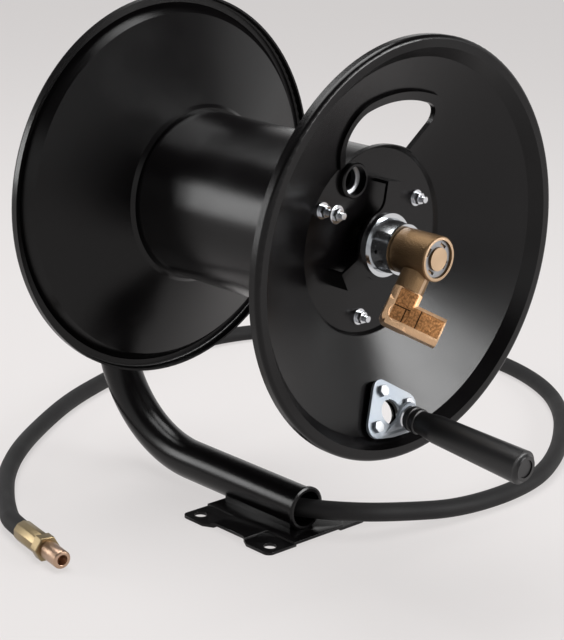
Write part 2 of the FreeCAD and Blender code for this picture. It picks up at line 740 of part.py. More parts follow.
rodSpots = [(S[side], S[rise]) for side, rise in rods]
rodNuts = spoolBody("rod_nuts")
nutSketch = newSketch(rodNuts, "XZ_Plane", "Nuts", offset=S["hub_face"] + S["washer_gauge"])
for side, rise in rodSpots:
    hexagon(nutSketch, side, rise, S["nut_width"])
    circle(nutSketch, side, rise, S["rod_radius"])
pad(rodNuts, nutSketch, S["nut_height"], "Nuts")
rearNuts = newSketch(rodNuts, "XZ_Plane", "RearNuts", offset=-S["hub_face"])
for side, rise in rodSpots:
    hexagon(rearNuts, side, rise, S["nut_width"])
    circle(rearNuts, side, rise, S["rod_radius"])
pad(rodNuts, rearNuts, S["nut_height"], "RearNuts", back=True)
node("rod_nuts", rodNuts)

rodWashers = spoolBody("rod_washers")
washerSketch = newSketch(rodWashers, "XZ_Plane", "Washers", offset=S["hub_face"])
for side, rise in rodSpots:
    circle(washerSketch, side, rise, S["washer_radius"])
    circle(washerSketch, side, rise, S["rod_radius"])
pad(rodWashers, washerSketch, S["washer_gauge"], "Washers")
node("rod_washers", rodWashers)

outerNut = spoolBody("rod_flange_nut")
outerHex = newSketch(outerNut, "XZ_Plane", "Hex", offset=S["flange_nut_seat"])
hexagon(outerHex, S["rod_b_side"], S["rod_b_up"], S["nut_width"])
circle(outerHex, S["rod_b_side"], S["rod_b_up"], S["rod_radius"])
pad(outerNut, outerHex, S["nut_height"], "Hex")
outerRing = newSketch(outerNut, "XZ_Plane", "Ring", offset=S["flange_nut_seat"])
circle(outerRing, S["rod_b_side"], S["rod_b_up"], S["nut_flange_radius"])
circle(outerRing, S["rod_b_side"], S["rod_b_up"], S["rod_radius"])
pad(outerNut, outerRing, S["nut_flange_gauge"], "Ring")
node("rod_flange_nut", outerNut)

# Zinc cup between the raised plate and the swivel
seat = -S["spider_face"]
flangeFront = seat - S["cup_flange_gauge"]
cupFront = -S["cup_front"]
turnedPart(
    "bearing_cup",
    [
        (seat, S["cup_back_radius"] - S["cup_gauge"]),
        (seat, S["cup_flange_radius"]),
        (flangeFront, S["cup_flange_radius"]),
        (flangeFront, S["cup_back_radius"]),
        (cupFront + 2, S["cup_front_radius"]),
        (cupFront + 2, S["cup_rim_radius"]),
        (cupFront, S["cup_rim_radius"]),
        (cupFront, S["stem_radius"]),
        (cupFront + 3, S["stem_radius"]),
        (cupFront + 3, S["cup_front_radius"] - S["cup_gauge"]),
    ],
)

# Hollow stem that carries the swivel, with a groove for the snap ring
stemEnd = -S["stem_front"]
grooveFront = S["ring_seat_depth"] - S["brass_front"] - S["ring_gauge"] - 0.3
grooveBack = S["ring_seat_depth"] - S["brass_front"] + 0.3
stem = turnedPart(
    "swivel_stem",
    [
        (-S["stem_back"], S["stem_bore"]),
        (-S["stem_back"], S["stem_radius"]),
        (grooveBack, S["stem_radius"]),
        (grooveBack, S["stem_radius"] - S["ring_groove"]),
        (grooveFront, S["stem_radius"] - S["ring_groove"]),
        (grooveFront, S["stem_radius"]),
        (stemEnd, S["stem_radius"]),
        (stemEnd, 0),
        (-S["port_level"] - 6, 0),
        (-S["port_level"] - 6, S["stem_bore"]),
    ],
)
crossDrill = newSketch(stem, "XY_Plane", "CrossDrill")
circle(crossDrill, 0, -S["port_level"], 3.5)
pad(stem, crossDrill, S["deep_drill"], "CrossDrill", both=True, cut=True)

# Brass swivel body with its side port, turned about the spool axis by the port swing
swivel = spoolBody("swivel_body", 0, 0, (0, 1, 0), S["port_swing"])
brass = newSketch(swivel, "YZ_Plane", "Brass")
brassBore = S["stem_radius"] + S["running_gap"]
ringFloor = S["ring_seat_depth"] - S["brass_front"]
outline(
    brass,
    [
        (-S["brass_back"], brassBore),
        (-S["brass_back"], S["brass_radius"] - 1),
        (-S["brass_back"] - 1, S["brass_radius"]),
        (1 - S["brass_front"], S["brass_radius"]),
        (-S["brass_front"], S["brass_radius"] - 1),
        (-S["brass_front"], S["ring_seat_radius"]),
        (ringFloor, S["ring_seat_radius"]),
        (ringFloor, brassBore),
    ],
)
revolve(swivel, brass)
port = newSketch(swivel, "XY_Plane", "Port", offset=-S["port_reach"])
circle(port, 0, -S["port_level"], S["port_radius"])
pad(swivel, port, S["port_reach"] - S["ring_seat_radius"] - 0.5, "Port")
passage = newSketch(swivel, "XY_Plane", "Passage", offset=-S["port_reach"])
circle(passage, 0, -S["port_level"], 6)
pad(swivel, passage, S["port_reach"] - 8, "Passage", back=True, cut=True)
node("swivel_body", swivel)

snapRing = spoolBody("swivel_snap_ring", 0, 0, (0, 1, 0), S["port_swing"])
ringFace = newSketch(
    snapRing, "XZ_Plane", "Ring", offset=S["brass_front"] - S["ring_seat_depth"]
)
circle(ringFace, 0, 0, S["ring_seat_radius"] - 0.3)
circle(ringFace, 0, 0, S["stem_radius"] - 0.8)
pad(snapRing, ringFace, S["ring_gauge"], "Ring")
notches = newSketch(
    snapRing, "XZ_Plane", "Notches", offset=S["brass_front"] - S["ring_seat_depth"]
)
deep, broad = S["notch_half_depth"], S["notch_half_width"]
for side, rise, halfU, halfV in (
    (S["notch_level"], 0, deep, broad),
    (0, S["notch_level"], broad, deep),
    (-S["notch_level"], 0, deep, broad),
    (0, -S["notch_level"], broad, deep),
):
    corners = [(side - halfU, rise - halfV), (side + halfU, rise - halfV)]
    corners += [(side + halfU, rise + halfV), (side - halfU, rise + halfV)]
    outline(notches, corners)
pad(snapRing, notches, S["sheet_drill"], "Notches", both=True, cut=True)
node("swivel_snap_ring", snapRing)

# Elbow on the side port. Its frame has the neck up along Z and the outlet along -Y, and is turned
# about the neck and then swung with the port, so the two turns are written as one.
elbow = newBody("swivel_elbow")
halfTurn, halfSwing = S["elbow_turn"] / 2, S["port_swing"] / 2
place(
    elbow,
    -(S["elbow_reach"] * sine(S["port_swing"])),
    S["spool_mid"] - S["port_level"],
    S["axis_height"] - S["elbow_reach"] * cosine(S["port_swing"]),
)
bothTurns = Size(
    2 * math.degrees(math.acos(cosine(halfTurn).value * cosine(halfSwing).value)),
    f"2 * acos({cosine(halfTurn).text} * {cosine(halfSwing).text})",
)
turnAxis = (
    sine(halfSwing) * sine(halfTurn),
    sine(halfSwing) * cosine(halfTurn),
    cosine(halfSwing) * sine(halfTurn),
)
elbow.Placement.Rotation = FreeCAD.Rotation(
    FreeCAD.Vector(*[part.value for part in turnAxis]), bothTurns.value
)
for letter, part in zip("xyz", turnAxis):
    bind(elbow, f"Placement.Rotation.Axis.{letter}", part)
bind(elbow, "Placement.Rotation.Angle", bothTurns)
wide, deepHalf = S["elbow_width"] / 2, S["elbow_gauge"] / 2
cut = S["elbow_chamfer"]


def flatted(sketch, halfU, halfV):
    outline(
        sketch,
        [
            (cut - halfU, -halfV),
            (halfU - cut, -halfV),
            (halfU, cut - halfV),
            (halfU, halfV - cut),
            (halfU - cut, halfV),
            (cut - halfU, halfV),
            (-halfU, halfV - cut),
            (-halfU, cut - halfV),
        ],
    )


neck = newSketch(elbow, "XY_Plane", "Neck", offset=-wide)
flatted(neck, deepHalf, wide)
pad(elbow, neck, S["elbow_neck"] + wide, "Neck")
mouth = newSketch(elbow, "XZ_Plane", "Mouth", offset=-wide)
flatted(mouth, deepHalf, wide)
pad(elbow, mouth, S["elbow_length"] + wide, "Mouth")
bow = S["elbow_corner"]
heel = newSketch(elbow, "YZ_Plane", "Heel")
outline(
    heel,
    [
        (wide - bow, -wide, bow),
        (wide, bow - wide),
        (wide + 1, bow - wide),
        (wide + 1, -wide - 1),
        (wide - bow, -wide - 1),
    ],
)
pad(elbow, heel, S["elbow_width"] * 2, "Heel", both=True, cut=True)
# Shallow round pockets in the two broad sides
for name, level in (("Left", -deepHalf), ("Right", deepHalf)):
    relief = newSketch(elbow, "YZ_Plane", f"Relief{name}", offset=level)
    circle(relief, 0, 0, wide - cut)
    pad(elbow, relief, S["elbow_relief"] * 2, f"Relief{name}", both=True, cut=True)
neckBore = newSketch(elbow, "XY_Plane", "NeckBore")
circle(neckBore, 0, 0, S["pipe_radius"])
pad(elbow, neckBore, S["deep_drill"], "NeckBore", back=True, cut=True)
mouthBore = newSketch(elbow, "XZ_Plane", "MouthBore", offset=-S["pipe_radius"] * 1.4)
circle(mouthBore, 0, 0, S["pipe_radius"] + 0.4)
pad(elbow, mouthBore, S["deep_drill"], "MouthBore", back=True, cut=True)
thread = newSketch(elbow, "XZ_Plane", "Thread", offset=S["elbow_length"])
circle(thread, 0, 0, S["elbow_bore"])
pad(elbow, thread, S["elbow_thread"], "Thread", cut=True)
node("swivel_elbow", elbow)

# Pipe inside the drum from the stem to the outlet port
outletReach = S["hub_radius"] - S["outlet_inset"]
pipe = spoolBody("manifold_pipe", 0, 0, (0, 1, 0), 90 - S["outlet_angle"])
pipePath = newSketch(pipe, "YZ_Plane", "Path")
level = -S["pipe_level"]
bend = S["pipe_bend"]
corners = [
    (-S["stem_back"], asSize(0)),
    (level - bend, asSize(0)),
    (level, bend),
    (level, outletReach - bend),
    (level - bend, outletReach),
    (-S["outlet_back"], outletReach),
]


def openPath(sketch, corners, bends, radius):
    # A chain of straight runs and arcs of one radius; the bend sign is the side of its centre.
    ends = []
    for index, sign in enumerate(bends):
        start = FreeCAD.Vector(corners[index][0].value, corners[index][1].value, 0)
        stop = FreeCAD.Vector(corners[index + 1][0].value, corners[index + 1][1].value, 0)
        if sign is None:
            side = sketch.addGeometry(Part.LineSegment(start, stop))
            ends.append((side, 1, 2))
            continue
        chord = stop - start
        toLeft = FreeCAD.Vector(-chord.y, chord.x, 0).normalize()
        rise = math.sqrt(radius.value**2 - (chord.Length / 2) ** 2)
        centre = (start + stop) / 2 + toLeft * rise * sign
        first, last = (start, stop) if sign > 0 else (stop, start)
        fromAngle = math.atan2(first.y - centre.y, first.x - centre.x)
        toAngle = math.atan2(last.y - centre.y, last.x - centre.x)
        while toAngle <= fromAngle:
            toAngle += 2 * math.pi
        bow = Part.Circle(centre, FreeCAD.Vector(0, 0, 1), radius.value)
        side = sketch.addGeometry(Part.ArcOfCircle(bow, fromAngle, toAngle))
        ends.append((side, 1, 2) if sign > 0 else (side, 2, 1))
        constrain(sketch, "Radius", side, radius.value, size=radius)
    for index, (side, start, stop) in enumerate(ends):
        locate(sketch, side, start, corners[index][0], corners[index][1])
        if index + 1 < len(ends):
            constrain(sketch, "Coincident", side, stop, ends[index + 1][0], ends[index + 1][1])
        else:
            locate(sketch, side, stop, corners[index + 1][0], corners[index + 1][1])


bends = [None, 1, None, 1, None]
openPath(pipePath, corners, bends, bend)
pipeRing = newSketch(pipe, "XZ_Plane", "Ring", offset=S["stem_back"])
circle(pipeRing, 0, 0, S["pipe_radius"])
circle(pipeRing, 0, 0, S["pipe_bore"])
swept = pipe.newObject("PartDesign::AdditivePipe", "manifold_pipe_Swept")
swept.Profile = (pipeRing, [""])
swept.Spine = (pipePath, [f"Edge{n}" for n in range(1, 6)])
node("manifold_pipe", pipe)

# Outlet port through the hub disc: a black socket on its seat, a zinc ring inside and a collar round it
collarFront = -S["hub_face"] - S["collar_height"]
outletFloor = S["sheet_gauge"] - S["outlet_back"] - 4.5


def outletPart(label, points):
    return turnedPart(label, points, S["outlet_side"], S["outlet_up"])


outletPart(
    "outlet_seat",
    [
        (outletFloor, S["pipe_bore"]),
        (outletFloor, S["outlet_radius"]),
        (-S["outlet_back"], S["outlet_radius"]),
        (-S["outlet_back"], S["pipe_bore"]),
    ],
)
outletPart(
    "outlet_port",
    [
        (collarFront, S["outlet_mouth"]),
        (collarFront, S["outlet_radius"]),
        (outletFloor, S["outlet_radius"]),
        (outletFloor, S["outlet_bore"]),
        (-S["outlet_ring_back"], S["outlet_bore"]),
        (-S["outlet_ring_back"], S["outlet_mouth"]),
    ],
)
outletPart(
    "outlet_ring",
    [
        (-S["outlet_ring_back"], S["outlet_bore"]),
        (-S["outlet_ring_back"], S["outlet_mouth"]),
        (-S["outlet_ring_front"], S["outlet_mouth"]),
        (1 - S["outlet_ring_front"], S["outlet_bore"] + 0.6),
        (1.6 - S["outlet_ring_front"], S["outlet_bore"]),
    ],
)
outletPart(
    "outlet_collar",
    [
        (-S["hub_face"], S["outlet_radius"]),
        (-S["hub_face"], S["collar_radius"]),
        (collarFront + 1, S["collar_radius"]),
        (collarFront, S["collar_radius"] - 1),
        (collarFront, S["outlet_radius"]),
    ],
)

# Bearings and the plates that hold them
bulkBack = S["bulkhead_gauge"] - S["bulkhead_face"]
bulkhead = turnedPart(
    "inner_bulkhead",
    [
        (-S["bulkhead_face"], S["bearing_radius"]),
        (-S["bulkhead_face"], S["drum_radius"] - S["drum_gauge"]),
        (bulkBack, S["drum_radius"] - S["drum_gauge"]),
        (bulkBack, S["bearing_radius"]),
    ],
)
drill(bulkhead, "RodHoles", -S["bulkhead_face"], S["bulkhead_gauge"] * 3, rodHoles)
bearingBore = S["spindle_radius"] + S["running_gap"]
turnedPart(
    "front_bearing",
    [
        (-S["bulkhead_face"] - 12, bearingBore),
        (-S["bulkhead_face"] - 12, S["bearing_radius"]),
        (-S["bulkhead_face"] - 4, S["bearing_radius"]),
        (-S["bulkhead_face"] - 4, S["bearing_radius"] + 10),
        (-S["bulkhead_face"], S["bearing_radius"] + 10),
        (-S["bulkhead_face"], S["bearing_radius"]),
        (bulkBack + 10, S["bearing_radius"]),
        (bulkBack + 10, bearingBore),
    ],
)
plateBack = S["hub_face"] + S["hub_plate_gauge"]
turnedPart(
    "rear_hub_plate",
    [
        (S["hub_face"], S["bearing_radius"]),
        (S["hub_face"], S["hub_plate_radius"]),
        (plateBack, S["hub_plate_radius"]),
        (plateBack, S["bearing_radius"]),
    ],
)
turnedPart(
    "rear_bearing",
    [
        (S["hub_face"] - 18, bearingBore),
        (S["hub_face"] - 18, S["bearing_radius"]),
        (plateBack, S["bearing_radius"]),
        (plateBack, S["bearing_radius"] + 13),
        (plateBack + 5, S["bearing_radius"] + 13),
        (plateBack + 5, S["bearing_radius"] + 2),
        (S["rear_bearing_end"], S["bearing_radius"]),
        (S["rear_bearing_end"], bearingBore),
    ],
)
hubBolts = spoolBody("rear_hub_bolts")
boltSketch = newSketch(hubBolts, "XZ_Plane", "Heads", offset=-plateBack)
ringOut = S["hub_plate_radius"] - S["hub_bolt_inset"]
for side, rise in ((0, ringOut), (ringOut, 0), (0, -ringOut), (-ringOut, 0)):
    hexagon(boltSketch, side, rise, S["hub_bolt_width"])
pad(hubBolts, boltSketch, S["hub_bolt_height"], "Heads", back=True)
node("rear_hub_bolts", hubBolts)

# Fixed spindle with its sleeve in the arm
spindle = turnedPart(
    "spindle",
    [
        (S["spindle_front"], 0),
        (S["spindle_front"], S["spindle_radius"] - 1),
        (S["spindle_front"] + 1, S["spindle_radius"]),
        (S["spindle_front"] + 3, S["spindle_radius"]),
        (S["spindle_front"] + 3, S["spindle_radius"] - S["ring_groove"]),
        (S["spindle_front"] + 5, S["spindle_radius"] - S["ring_groove"]),
        (S["spindle_front"] + 5, S["spindle_radius"]),
        (S["spindle_back"] - 1, S["spindle_radius"]),
        (S["spindle_back"], S["spindle_radius"] - 1),
        (S["spindle_back"], 0),
    ],
)
turnedPart(
    "spindle_retaining_ring",
    [
        (S["spindle_front"] + 3, S["spindle_radius"] - S["ring_groove"]),
        (S["spindle_front"] + 3, S["spindle_radius"] + 4),
        (S["spindle_front"] + 5, S["spindle_radius"] + 4),
        (S["spindle_front"] + 5, S["spindle_radius"] - S["ring_groove"]),
    ],
)
turnedPart(
    "thrust_washer",
    [
        (S["spindle_front"] + 5, S["spindle_radius"]),
        (S["spindle_front"] + 5, S["bearing_radius"]),
        (S["spindle_front"] + 7.7, S["bearing_radius"]),
        (S["spindle_front"] + 7.7, S["spindle_radius"]),
    ],
)
turnedPart(
    "spindle_boss",
    [
        (S["boss_front"], S["spindle_radius"]),
        (S["boss_front"], S["boss_radius"]),
        (S["boss_back"], S["boss_radius"]),
        (S["boss_back"], S["spindle_radius"]),
    ],
)
turnedPart(
    "spindle_washer",
    [
        (S["boss_back"], S["spindle_radius"]),
        (S["boss_back"], S["boss_radius"] + 5),
        (S["boss_back"] + 2.5, S["boss_radius"] + 5),
        (S["boss_back"] + 2.5, S["spindle_radius"]),
    ],
)
spindleNut = spoolBody("spindle_nut")
spindleHex = newSketch(spindleNut, "XZ_Plane", "Hex", offset=-(S["boss_back"] + 2.5))
hexagon(spindleHex, 0, 0, 36)
circle(spindleHex, 0, 0, S["spindle_radius"])
pad(spindleNut, spindleHex, 13, "Hex", back=True)
node("spindle_nut", spindleNut)

# Arm: one tube that lies on the base, bends and stands up behind the rear flange
arm = newBody("arm_tube")
uprightY = S["spool_mid"] + S["upright_level"]
armTop = S["axis_height"] + S["arm_top"]
armPath = newSketch(arm, "YZ_Plane", "Path")
openPath(
    armPath,
    [
        (S["arm_mouth"], S["arm_rise"]),
        (uprightY - S["arm_bend"], S["arm_rise"]),
        (uprightY, S["arm_rise"] + S["arm_bend"]),
        (uprightY, armTop),
    ],
    [None, 1, None],
    S["arm_bend"],
)
armRing = newSketch(arm, "XZ_Plane", "Ring", offset=-S["arm_mouth"])
circle(armRing, 0, S["arm_rise"], S["arm_radius"])
circle(armRing, 0, S["arm_rise"], S["arm_radius"] - S["arm_gauge"])
armSwept = arm.newObject("PartDesign::AdditivePipe", "arm_tube_Swept")
armSwept.Profile = (armRing, [""])
armSwept.Spine = (armPath, ["Edge1", "Edge2", "Edge3"])
drill(arm, "BossHole", uprightY, S["deep_drill"], [(0, S["axis_height"], S["boss_radius"])])
node("arm_tube", arm)

mouthRing = newBody("tube_mouth_ring")
place(mouthRing, 0, S["arm_mouth"], S["arm_rise"])
beadProfile = newSketch(mouthRing, "YZ_Plane", "Profile")
outline(
    beadProfile,
    [
        (0, S["arm_radius"]),
        (S["mouth_ring_length"], S["arm_radius"]),
        (S["mouth_ring_length"] - 1, S["mouth_ring_radius"]),
        (1, S["mouth_ring_radius"]),
    ],
)
revolve(mouthRing, beadProfile)
node("tube_mouth_ring", mouthRing)

capBody = newBody("arm_cap")
place(capBody, 0, uprightY, armTop)
capProfile = newSketch(capBody, "YZ_Plane", "Profile")
capHalf = S["arm_radius"] / 2
outline(
    capProfile,
    [
        (0, 0),
        (S["arm_radius"], 0),
        (S["arm_radius"], S["cap_edge"]),
        (capHalf, S["cap_rise"]),
        (0, S["cap_rise"]),
    ],
)
revolve(capBody, capProfile, axis="V_Axis")
node("arm_cap", capBody)

# Base plate with tabs, a waist on each side and a raised channel under the tube
base = newBody("base_plate")
place(base, 0, 0, 0)
edge = newSketch(base, "XY_Plane", "Edge")
X, Y = S["base_half_width"], S["base_half_length"]
W, T, E = S["base_waist"], S["tab_inner"], S["waist_end"]
C = S["base_corner"]
outline(
    edge,
    [
        (C - X, -Y),
        (X - C, -Y, C),
        (X, C - Y),
        (X, -T),
        (W, -E),
        (W, E),
        (X, T),
        (X, Y - C, C),
        (X - C, Y),
        (C - X, Y, C),
        (-X, Y - C),
        (-X, T),
        (-W, E),
        (-W, -E),
        (-X, -T),
        (-X, C - Y, C),
    ],
)
pad(base, edge, S["base_gauge"], "Sheet")
K = S["channel_half"]
raised = newSketch(base, "XY_Plane", "Raised", offset=S["base_gauge"])
outline(raised, [(-K, -Y), (K, -Y), (K, Y), (-K, Y)])
pad(base, raised, S["channel_rise"], "Raised")
G, H = S["base_gauge"], S["raised_half"]


def edgeAt(y):
    # Half width of the plate on the slant between its waist and a tab
    return W + (X - W) * (y - E) / (T - E)


for name, sign in (("BandRight", 1), ("BandLeft", -1)):
    band = newSketch(base, "XY_Plane", name, offset=G)
    rightSide = [(K, -H), (edgeAt(H), -H), (W, -E), (W, E), (edgeAt(H), H), (K, H)]
    outline(band, [(u * sign, v) for u, v in rightSide])
    pad(base, band, S["channel_rise"], name)
hollow = newSketch(base, "XY_Plane", "Hollow")
outline(hollow, [(G - K, -Y), (K - G, -Y), (K - G, Y), (G - K, Y)])
pad(base, hollow, S["channel_rise"], "Hollow", back=True, cut=True)
bandHollow = newSketch(base, "XY_Plane", "BandHollow")
lowSide = H - G
outline(bandHollow, [(-X, -lowSide), (X, -lowSide), (X, lowSide), (-X, lowSide)])
pad(base, bandHollow, S["channel_rise"], "BandHollow", back=True, cut=True)
holes = newSketch(base, "XY_Plane", "Holes")
for sx in (-1, 1):
    for sy in (-1, 1):
        circle(holes, S["hole_half_x"] * sx, S["hole_half_y"] * sy, S["hole_radius"])
pad(base, holes, 20, "Holes", both=True, cut=True)
drill(
    base,
    "RingNotch",
    S["arm_mouth"] + S["mouth_ring_length"] / 2,
    S["mouth_ring_length"] + 0.2,
    [(0, S["arm_rise"], S["mouth_ring_radius"] + 0.1)],
)
node("base_plate", base)

weld = newBody("arm_weld_beads")
place(weld, 0, S["weld_start"], 0)
beads = newSketch(weld, "XZ_Plane", "Beads")
floorTop = S["base_gauge"] + S["channel_rise"]


def tubeUnder(x):
    return S["arm_rise"] - squareRoot(S["arm_radius"] * S["arm_radius"] - x * x)


near, far = S["weld_inner"], S["weld_outer"]
for sign, start, stop in ((1, near, far), (-1, far, near)):
    outline(
        beads,
        [
            (start * sign, floorTop),
            (stop * sign, floorTop),
            (stop * sign, tubeUnder(stop), -S["arm_radius"]),
            (start * sign, tubeUnder(start)),
        ],
    )
pad(weld, beads, S["weld_length"], "Beads", back=True)
node("arm_weld_beads", weld)

# Crank bracket, a black plate under it, and its bolts, all square to the cone
low = S["spacer_lift"]
mid = low + S["spacer_gauge"]
top = mid + S["bracket_gauge"]
boltSpots = [
    (S["bolt_a_side"], -S["bolt_a_down"]),
    (S["bolt_b_side"], -S["bolt_b_down"]),
    (S["bolt_c_side"], -S["bolt_c_down"]),
]


def bracketOutline(sketch, radius, foot):
    # Hull of three circles round the bolts, squared off along the foot.
    a, b, c = [(x.value, y.value) for x, y in boltSpots]

    def offset(first, second):
        dx, dy = second[0] - first[0], second[1] - first[1]
        length = math.hypot(dx, dy)
        return dy / length * radius.value, -dx / length * radius.value

    ca = offset(c, a)
    ab = offset(a, b)
    side = []
    # The outline goes clockwise: up the left edge, over the top bolt and down to the right bolt.
    left1 = (c[0] - ca[0], c[1] - ca[1])
    left2 = (a[0] - ca[0], a[1] - ca[1])
    right1 = (a[0] - ab[0], a[1] - ab[1])
    right2 = (b[0] - ab[0], b[1] - ab[1])

    def tied(spot, point):
        # Written as the bolt position plus a share of the corner radius.
        u = spot[0] + radius * round((point[0] - spot[0].value) / radius.value, 6)
        v = spot[1] + radius * round((point[1] - spot[1].value) / radius.value, 6)
        return u, v

    side.append(tied(boltSpots[2], left1))
    side.append(tied(boltSpots[0], left2) + (-radius,))
    side.append(tied(boltSpots[0], right1))
    side.append(tied(boltSpots[1], right2) + (-radius,))
    side.append((boltSpots[1][0] + radius * 0.94, boltSpots[1][1] - radius * 0.342020))
    side.append((boltSpots[1][0] - radius * 0.2, -foot))
    side.append((boltSpots[2][0], -foot, -radius))
    outline(sketch, side)


footLine = S["bolt_c_down"] + S["bracket_corner"]
spacer = slopeBody("bracket_spacer")
spacerFace = newSketch(spacer, "XY_Plane", "Face", offset=low)
bracketOutline(spacerFace, S["bracket_corner"], footLine)
circle(spacerFace, S["bracket_hole_side"], -S["bracket_hole_down"], S["bracket_hole"])
for side, rise in boltSpots:
    circle(spacerFace, side, rise, S["small_bolt_radius"])
pad(spacer, spacerFace, S["spacer_gauge"], "Face")
node("bracket_spacer", spacer)

bracket = slopeBody("crank_bracket")
bracketFace = newSketch(bracket, "XY_Plane", "Face", offset=mid)
bracketOutline(bracketFace, S["bracket_corner"], footLine)
pad(bracket, bracketFace, S["bracket_gauge"], "Face")
tabTilt = 90 - slopeAngle + S["handle_tilt"]


def tabSketch(body, name):
    # On the front face of the handle tab, with the handle axis in the middle
    return newSketch(
        body,
        "XY_Plane",
        name,
        offset=S["handle_lift"],
        shift=(S["handle_side"], -S["handle_down"]),
        tilt=tabTilt,
    )


def tabOutline(sketch, radius):
    left, drop = S["tab_left"], S["tab_drop"]
    outline(
        sketch,
        [
            (-left, -S["tab_side_drop"]),
            (-left / 2, -drop),
            (radius / 2, -drop),
            (radius, radius - drop - radius / 2),
            (radius, 0, radius),
            (0, radius, radius),
            (-radius, 0),
        ],
    )


tabFace = tabSketch(bracket, "Tab")
tabOutline(tabFace, S["tab_radius"])
pad(bracket, tabFace, S["bracket_gauge"], "Tab", back=True)
bracketHoles = newSketch(bracket, "XY_Plane", "Holes", offset=low)
for side, rise in boltSpots:
    circle(bracketHoles, side, rise, S["small_bolt_radius"])
pad(bracket, bracketHoles, top - low + 1, "Holes", back=True, cut=True)
bigHole = newSketch(bracket, "XY_Plane", "BigHole", offset=top)
circle(bigHole, S["bracket_hole_side"], -S["bracket_hole_down"], S["bracket_hole"])
pad(bracket, bigHole, top - low + 1, "BigHole", cut=True)
studHole = tabSketch(bracket, "StudHole")
circle(studHole, 0, 0, S["stud_radius"])
pad(bracket, studHole, S["bracket_gauge"], "StudHole", cut=True)
node("crank_bracket", bracket)
spacerCut = tabSketch(spacer, "TabCut")
tabOutline(spacerCut, S["tab_radius"])
pad(spacer, spacerCut, S["bracket_gauge"] * 2 + 0.2, "TabCut", both=True, cut=True)

bolts = slopeBody("bracket_bolts")
shanks = newSketch(bolts, "XY_Plane", "Shanks", offset=-S["shank_end"])
for side, rise in boltSpots:
    circle(shanks, side, rise, S["small_bolt_radius"])
pad(bolts, shanks, top + S["shank_end"], "Shanks")
heads = newSketch(bolts, "XY_Plane", "Heads", offset=top)
for side, rise in boltSpots:
    hexagon(heads, side, rise, S["small_head_width"])
pad(bolts, heads, S["small_head_height"], "Heads")
node("bracket_bolts", bolts)

nuts = slopeBody("bracket_nuts")
nutFace = newSketch(nuts, "XY_Plane", "Nuts", offset=-S["small_nut_end"])
for side, rise in boltSpots:
    hexagon(nutFace, side, rise, S["small_head_width"])
    circle(nutFace, side, rise, S["small_bolt_radius"])
pad(nuts, nutFace, S["small_nut_height"], "Nuts")
node("bracket_nuts", nuts)

boltCut = newSketch(frontFlange, "XZ_Plane", "BoltCuts", offset=S["cone_face"])
for side, rise in boltSpots:
    down = -(S["step_radius"] - rise * slopeDown)
    circle(boltCut, side, down, S["bolt_hole"])
pad(frontFlange, boltCut, S["deep_drill"], "BoltCuts", both=True, cut=True)

# Handle: stud through the tab, washer and loose grip, on a drooping line


def handleBody(label):
    body = newBody(label)
    place(
        body,
        S["handle_side"],
        S["spool_mid"] + S["handle_level"],
        S["axis_height"] + S["handle_drop"],
        (1, 0, 0),
        S["handle_tilt"],
    )
    return body


def handlePart(label, points):
    body = handleBody(label)
    profile = newSketch(body, "YZ_Plane", "Profile")
    outline(profile, points)
    revolve(body, profile)
    return node(label, body)


handlePart(
    "handle_washer",
    [
        (0, S["stud_radius"]),
        (0, S["handle_washer_radius"]),
        (S["handle_washer_edge"] - S["handle_washer_gauge"], S["handle_washer_radius"]),
        (-S["handle_washer_gauge"], S["handle_washer_radius"] - S["handle_washer_edge"]),
        (-S["handle_washer_gauge"], S["stud_radius"]),
    ],
)
headBack = -S["stud_length"]
handlePart(
    "handle_stud",
    [
        (S["bracket_gauge"], 0),
        (S["bracket_gauge"], S["stud_radius"]),
        (headBack, S["stud_radius"]),
        (headBack, S["stud_head_radius"]),
        (headBack - S["stud_head_height"] + 1, S["stud_head_radius"]),
        (headBack - S["stud_head_height"], S["stud_head_radius"] - 1),
        (headBack - S["stud_head_height"], 0),
    ],
)
gripBore = S["stud_radius"] + S["running_gap"]
handlePart(
    "handle_grip",
    [
        (-S["grip_start"], gripBore),
        (-S["grip_start"], S["grip_neck"]),
        (-S["grip_start"] - 2.5, S["grip_neck"]),
        (-S["grip_start"] - 3.2, S["grip_rib"]),
        (-S["grip_start"] - 5.8, S["grip_rib"]),
        (-S["grip_start"] - 6.5, S["grip_neck"]),
        (-S["grip_start"] - 9, S["grip_neck"]),
        (-S["grip_start"] - 9.7, S["grip_rib"]),
        (-S["grip_start"] - 12.3, S["grip_rib"]),
        (-S["grip_start"] - 13, S["grip_neck"]),
        (-S["grip_start"] - 18, S["grip_neck"] + 0.3),
        (-S["grip_flare_end"], S["grip_flare"]),
        (4 - S["grip_length"], S["grip_end_radius"], -4),
        (-S["grip_length"], S["grip_end_radius"] - 4),
        (-S["grip_length"], S["grip_recess"]),
        (headBack + 0.3, S["grip_recess"]),
        (headBack + 0.3, gripBore),
    ],
)

plugFront = S["grip_plug_sink"] - S["grip_length"]
handlePart(
    "grip_plug",
    [
        (plugFront + S["grip_plug_gauge"], 0),
        (plugFront + S["grip_plug_gauge"], S["grip_recess"]),
        (plugFront + 0.5, S["grip_recess"]),
        (plugFront, S["grip_recess"] - 0.5),
        (plugFront, 0),
    ],
)

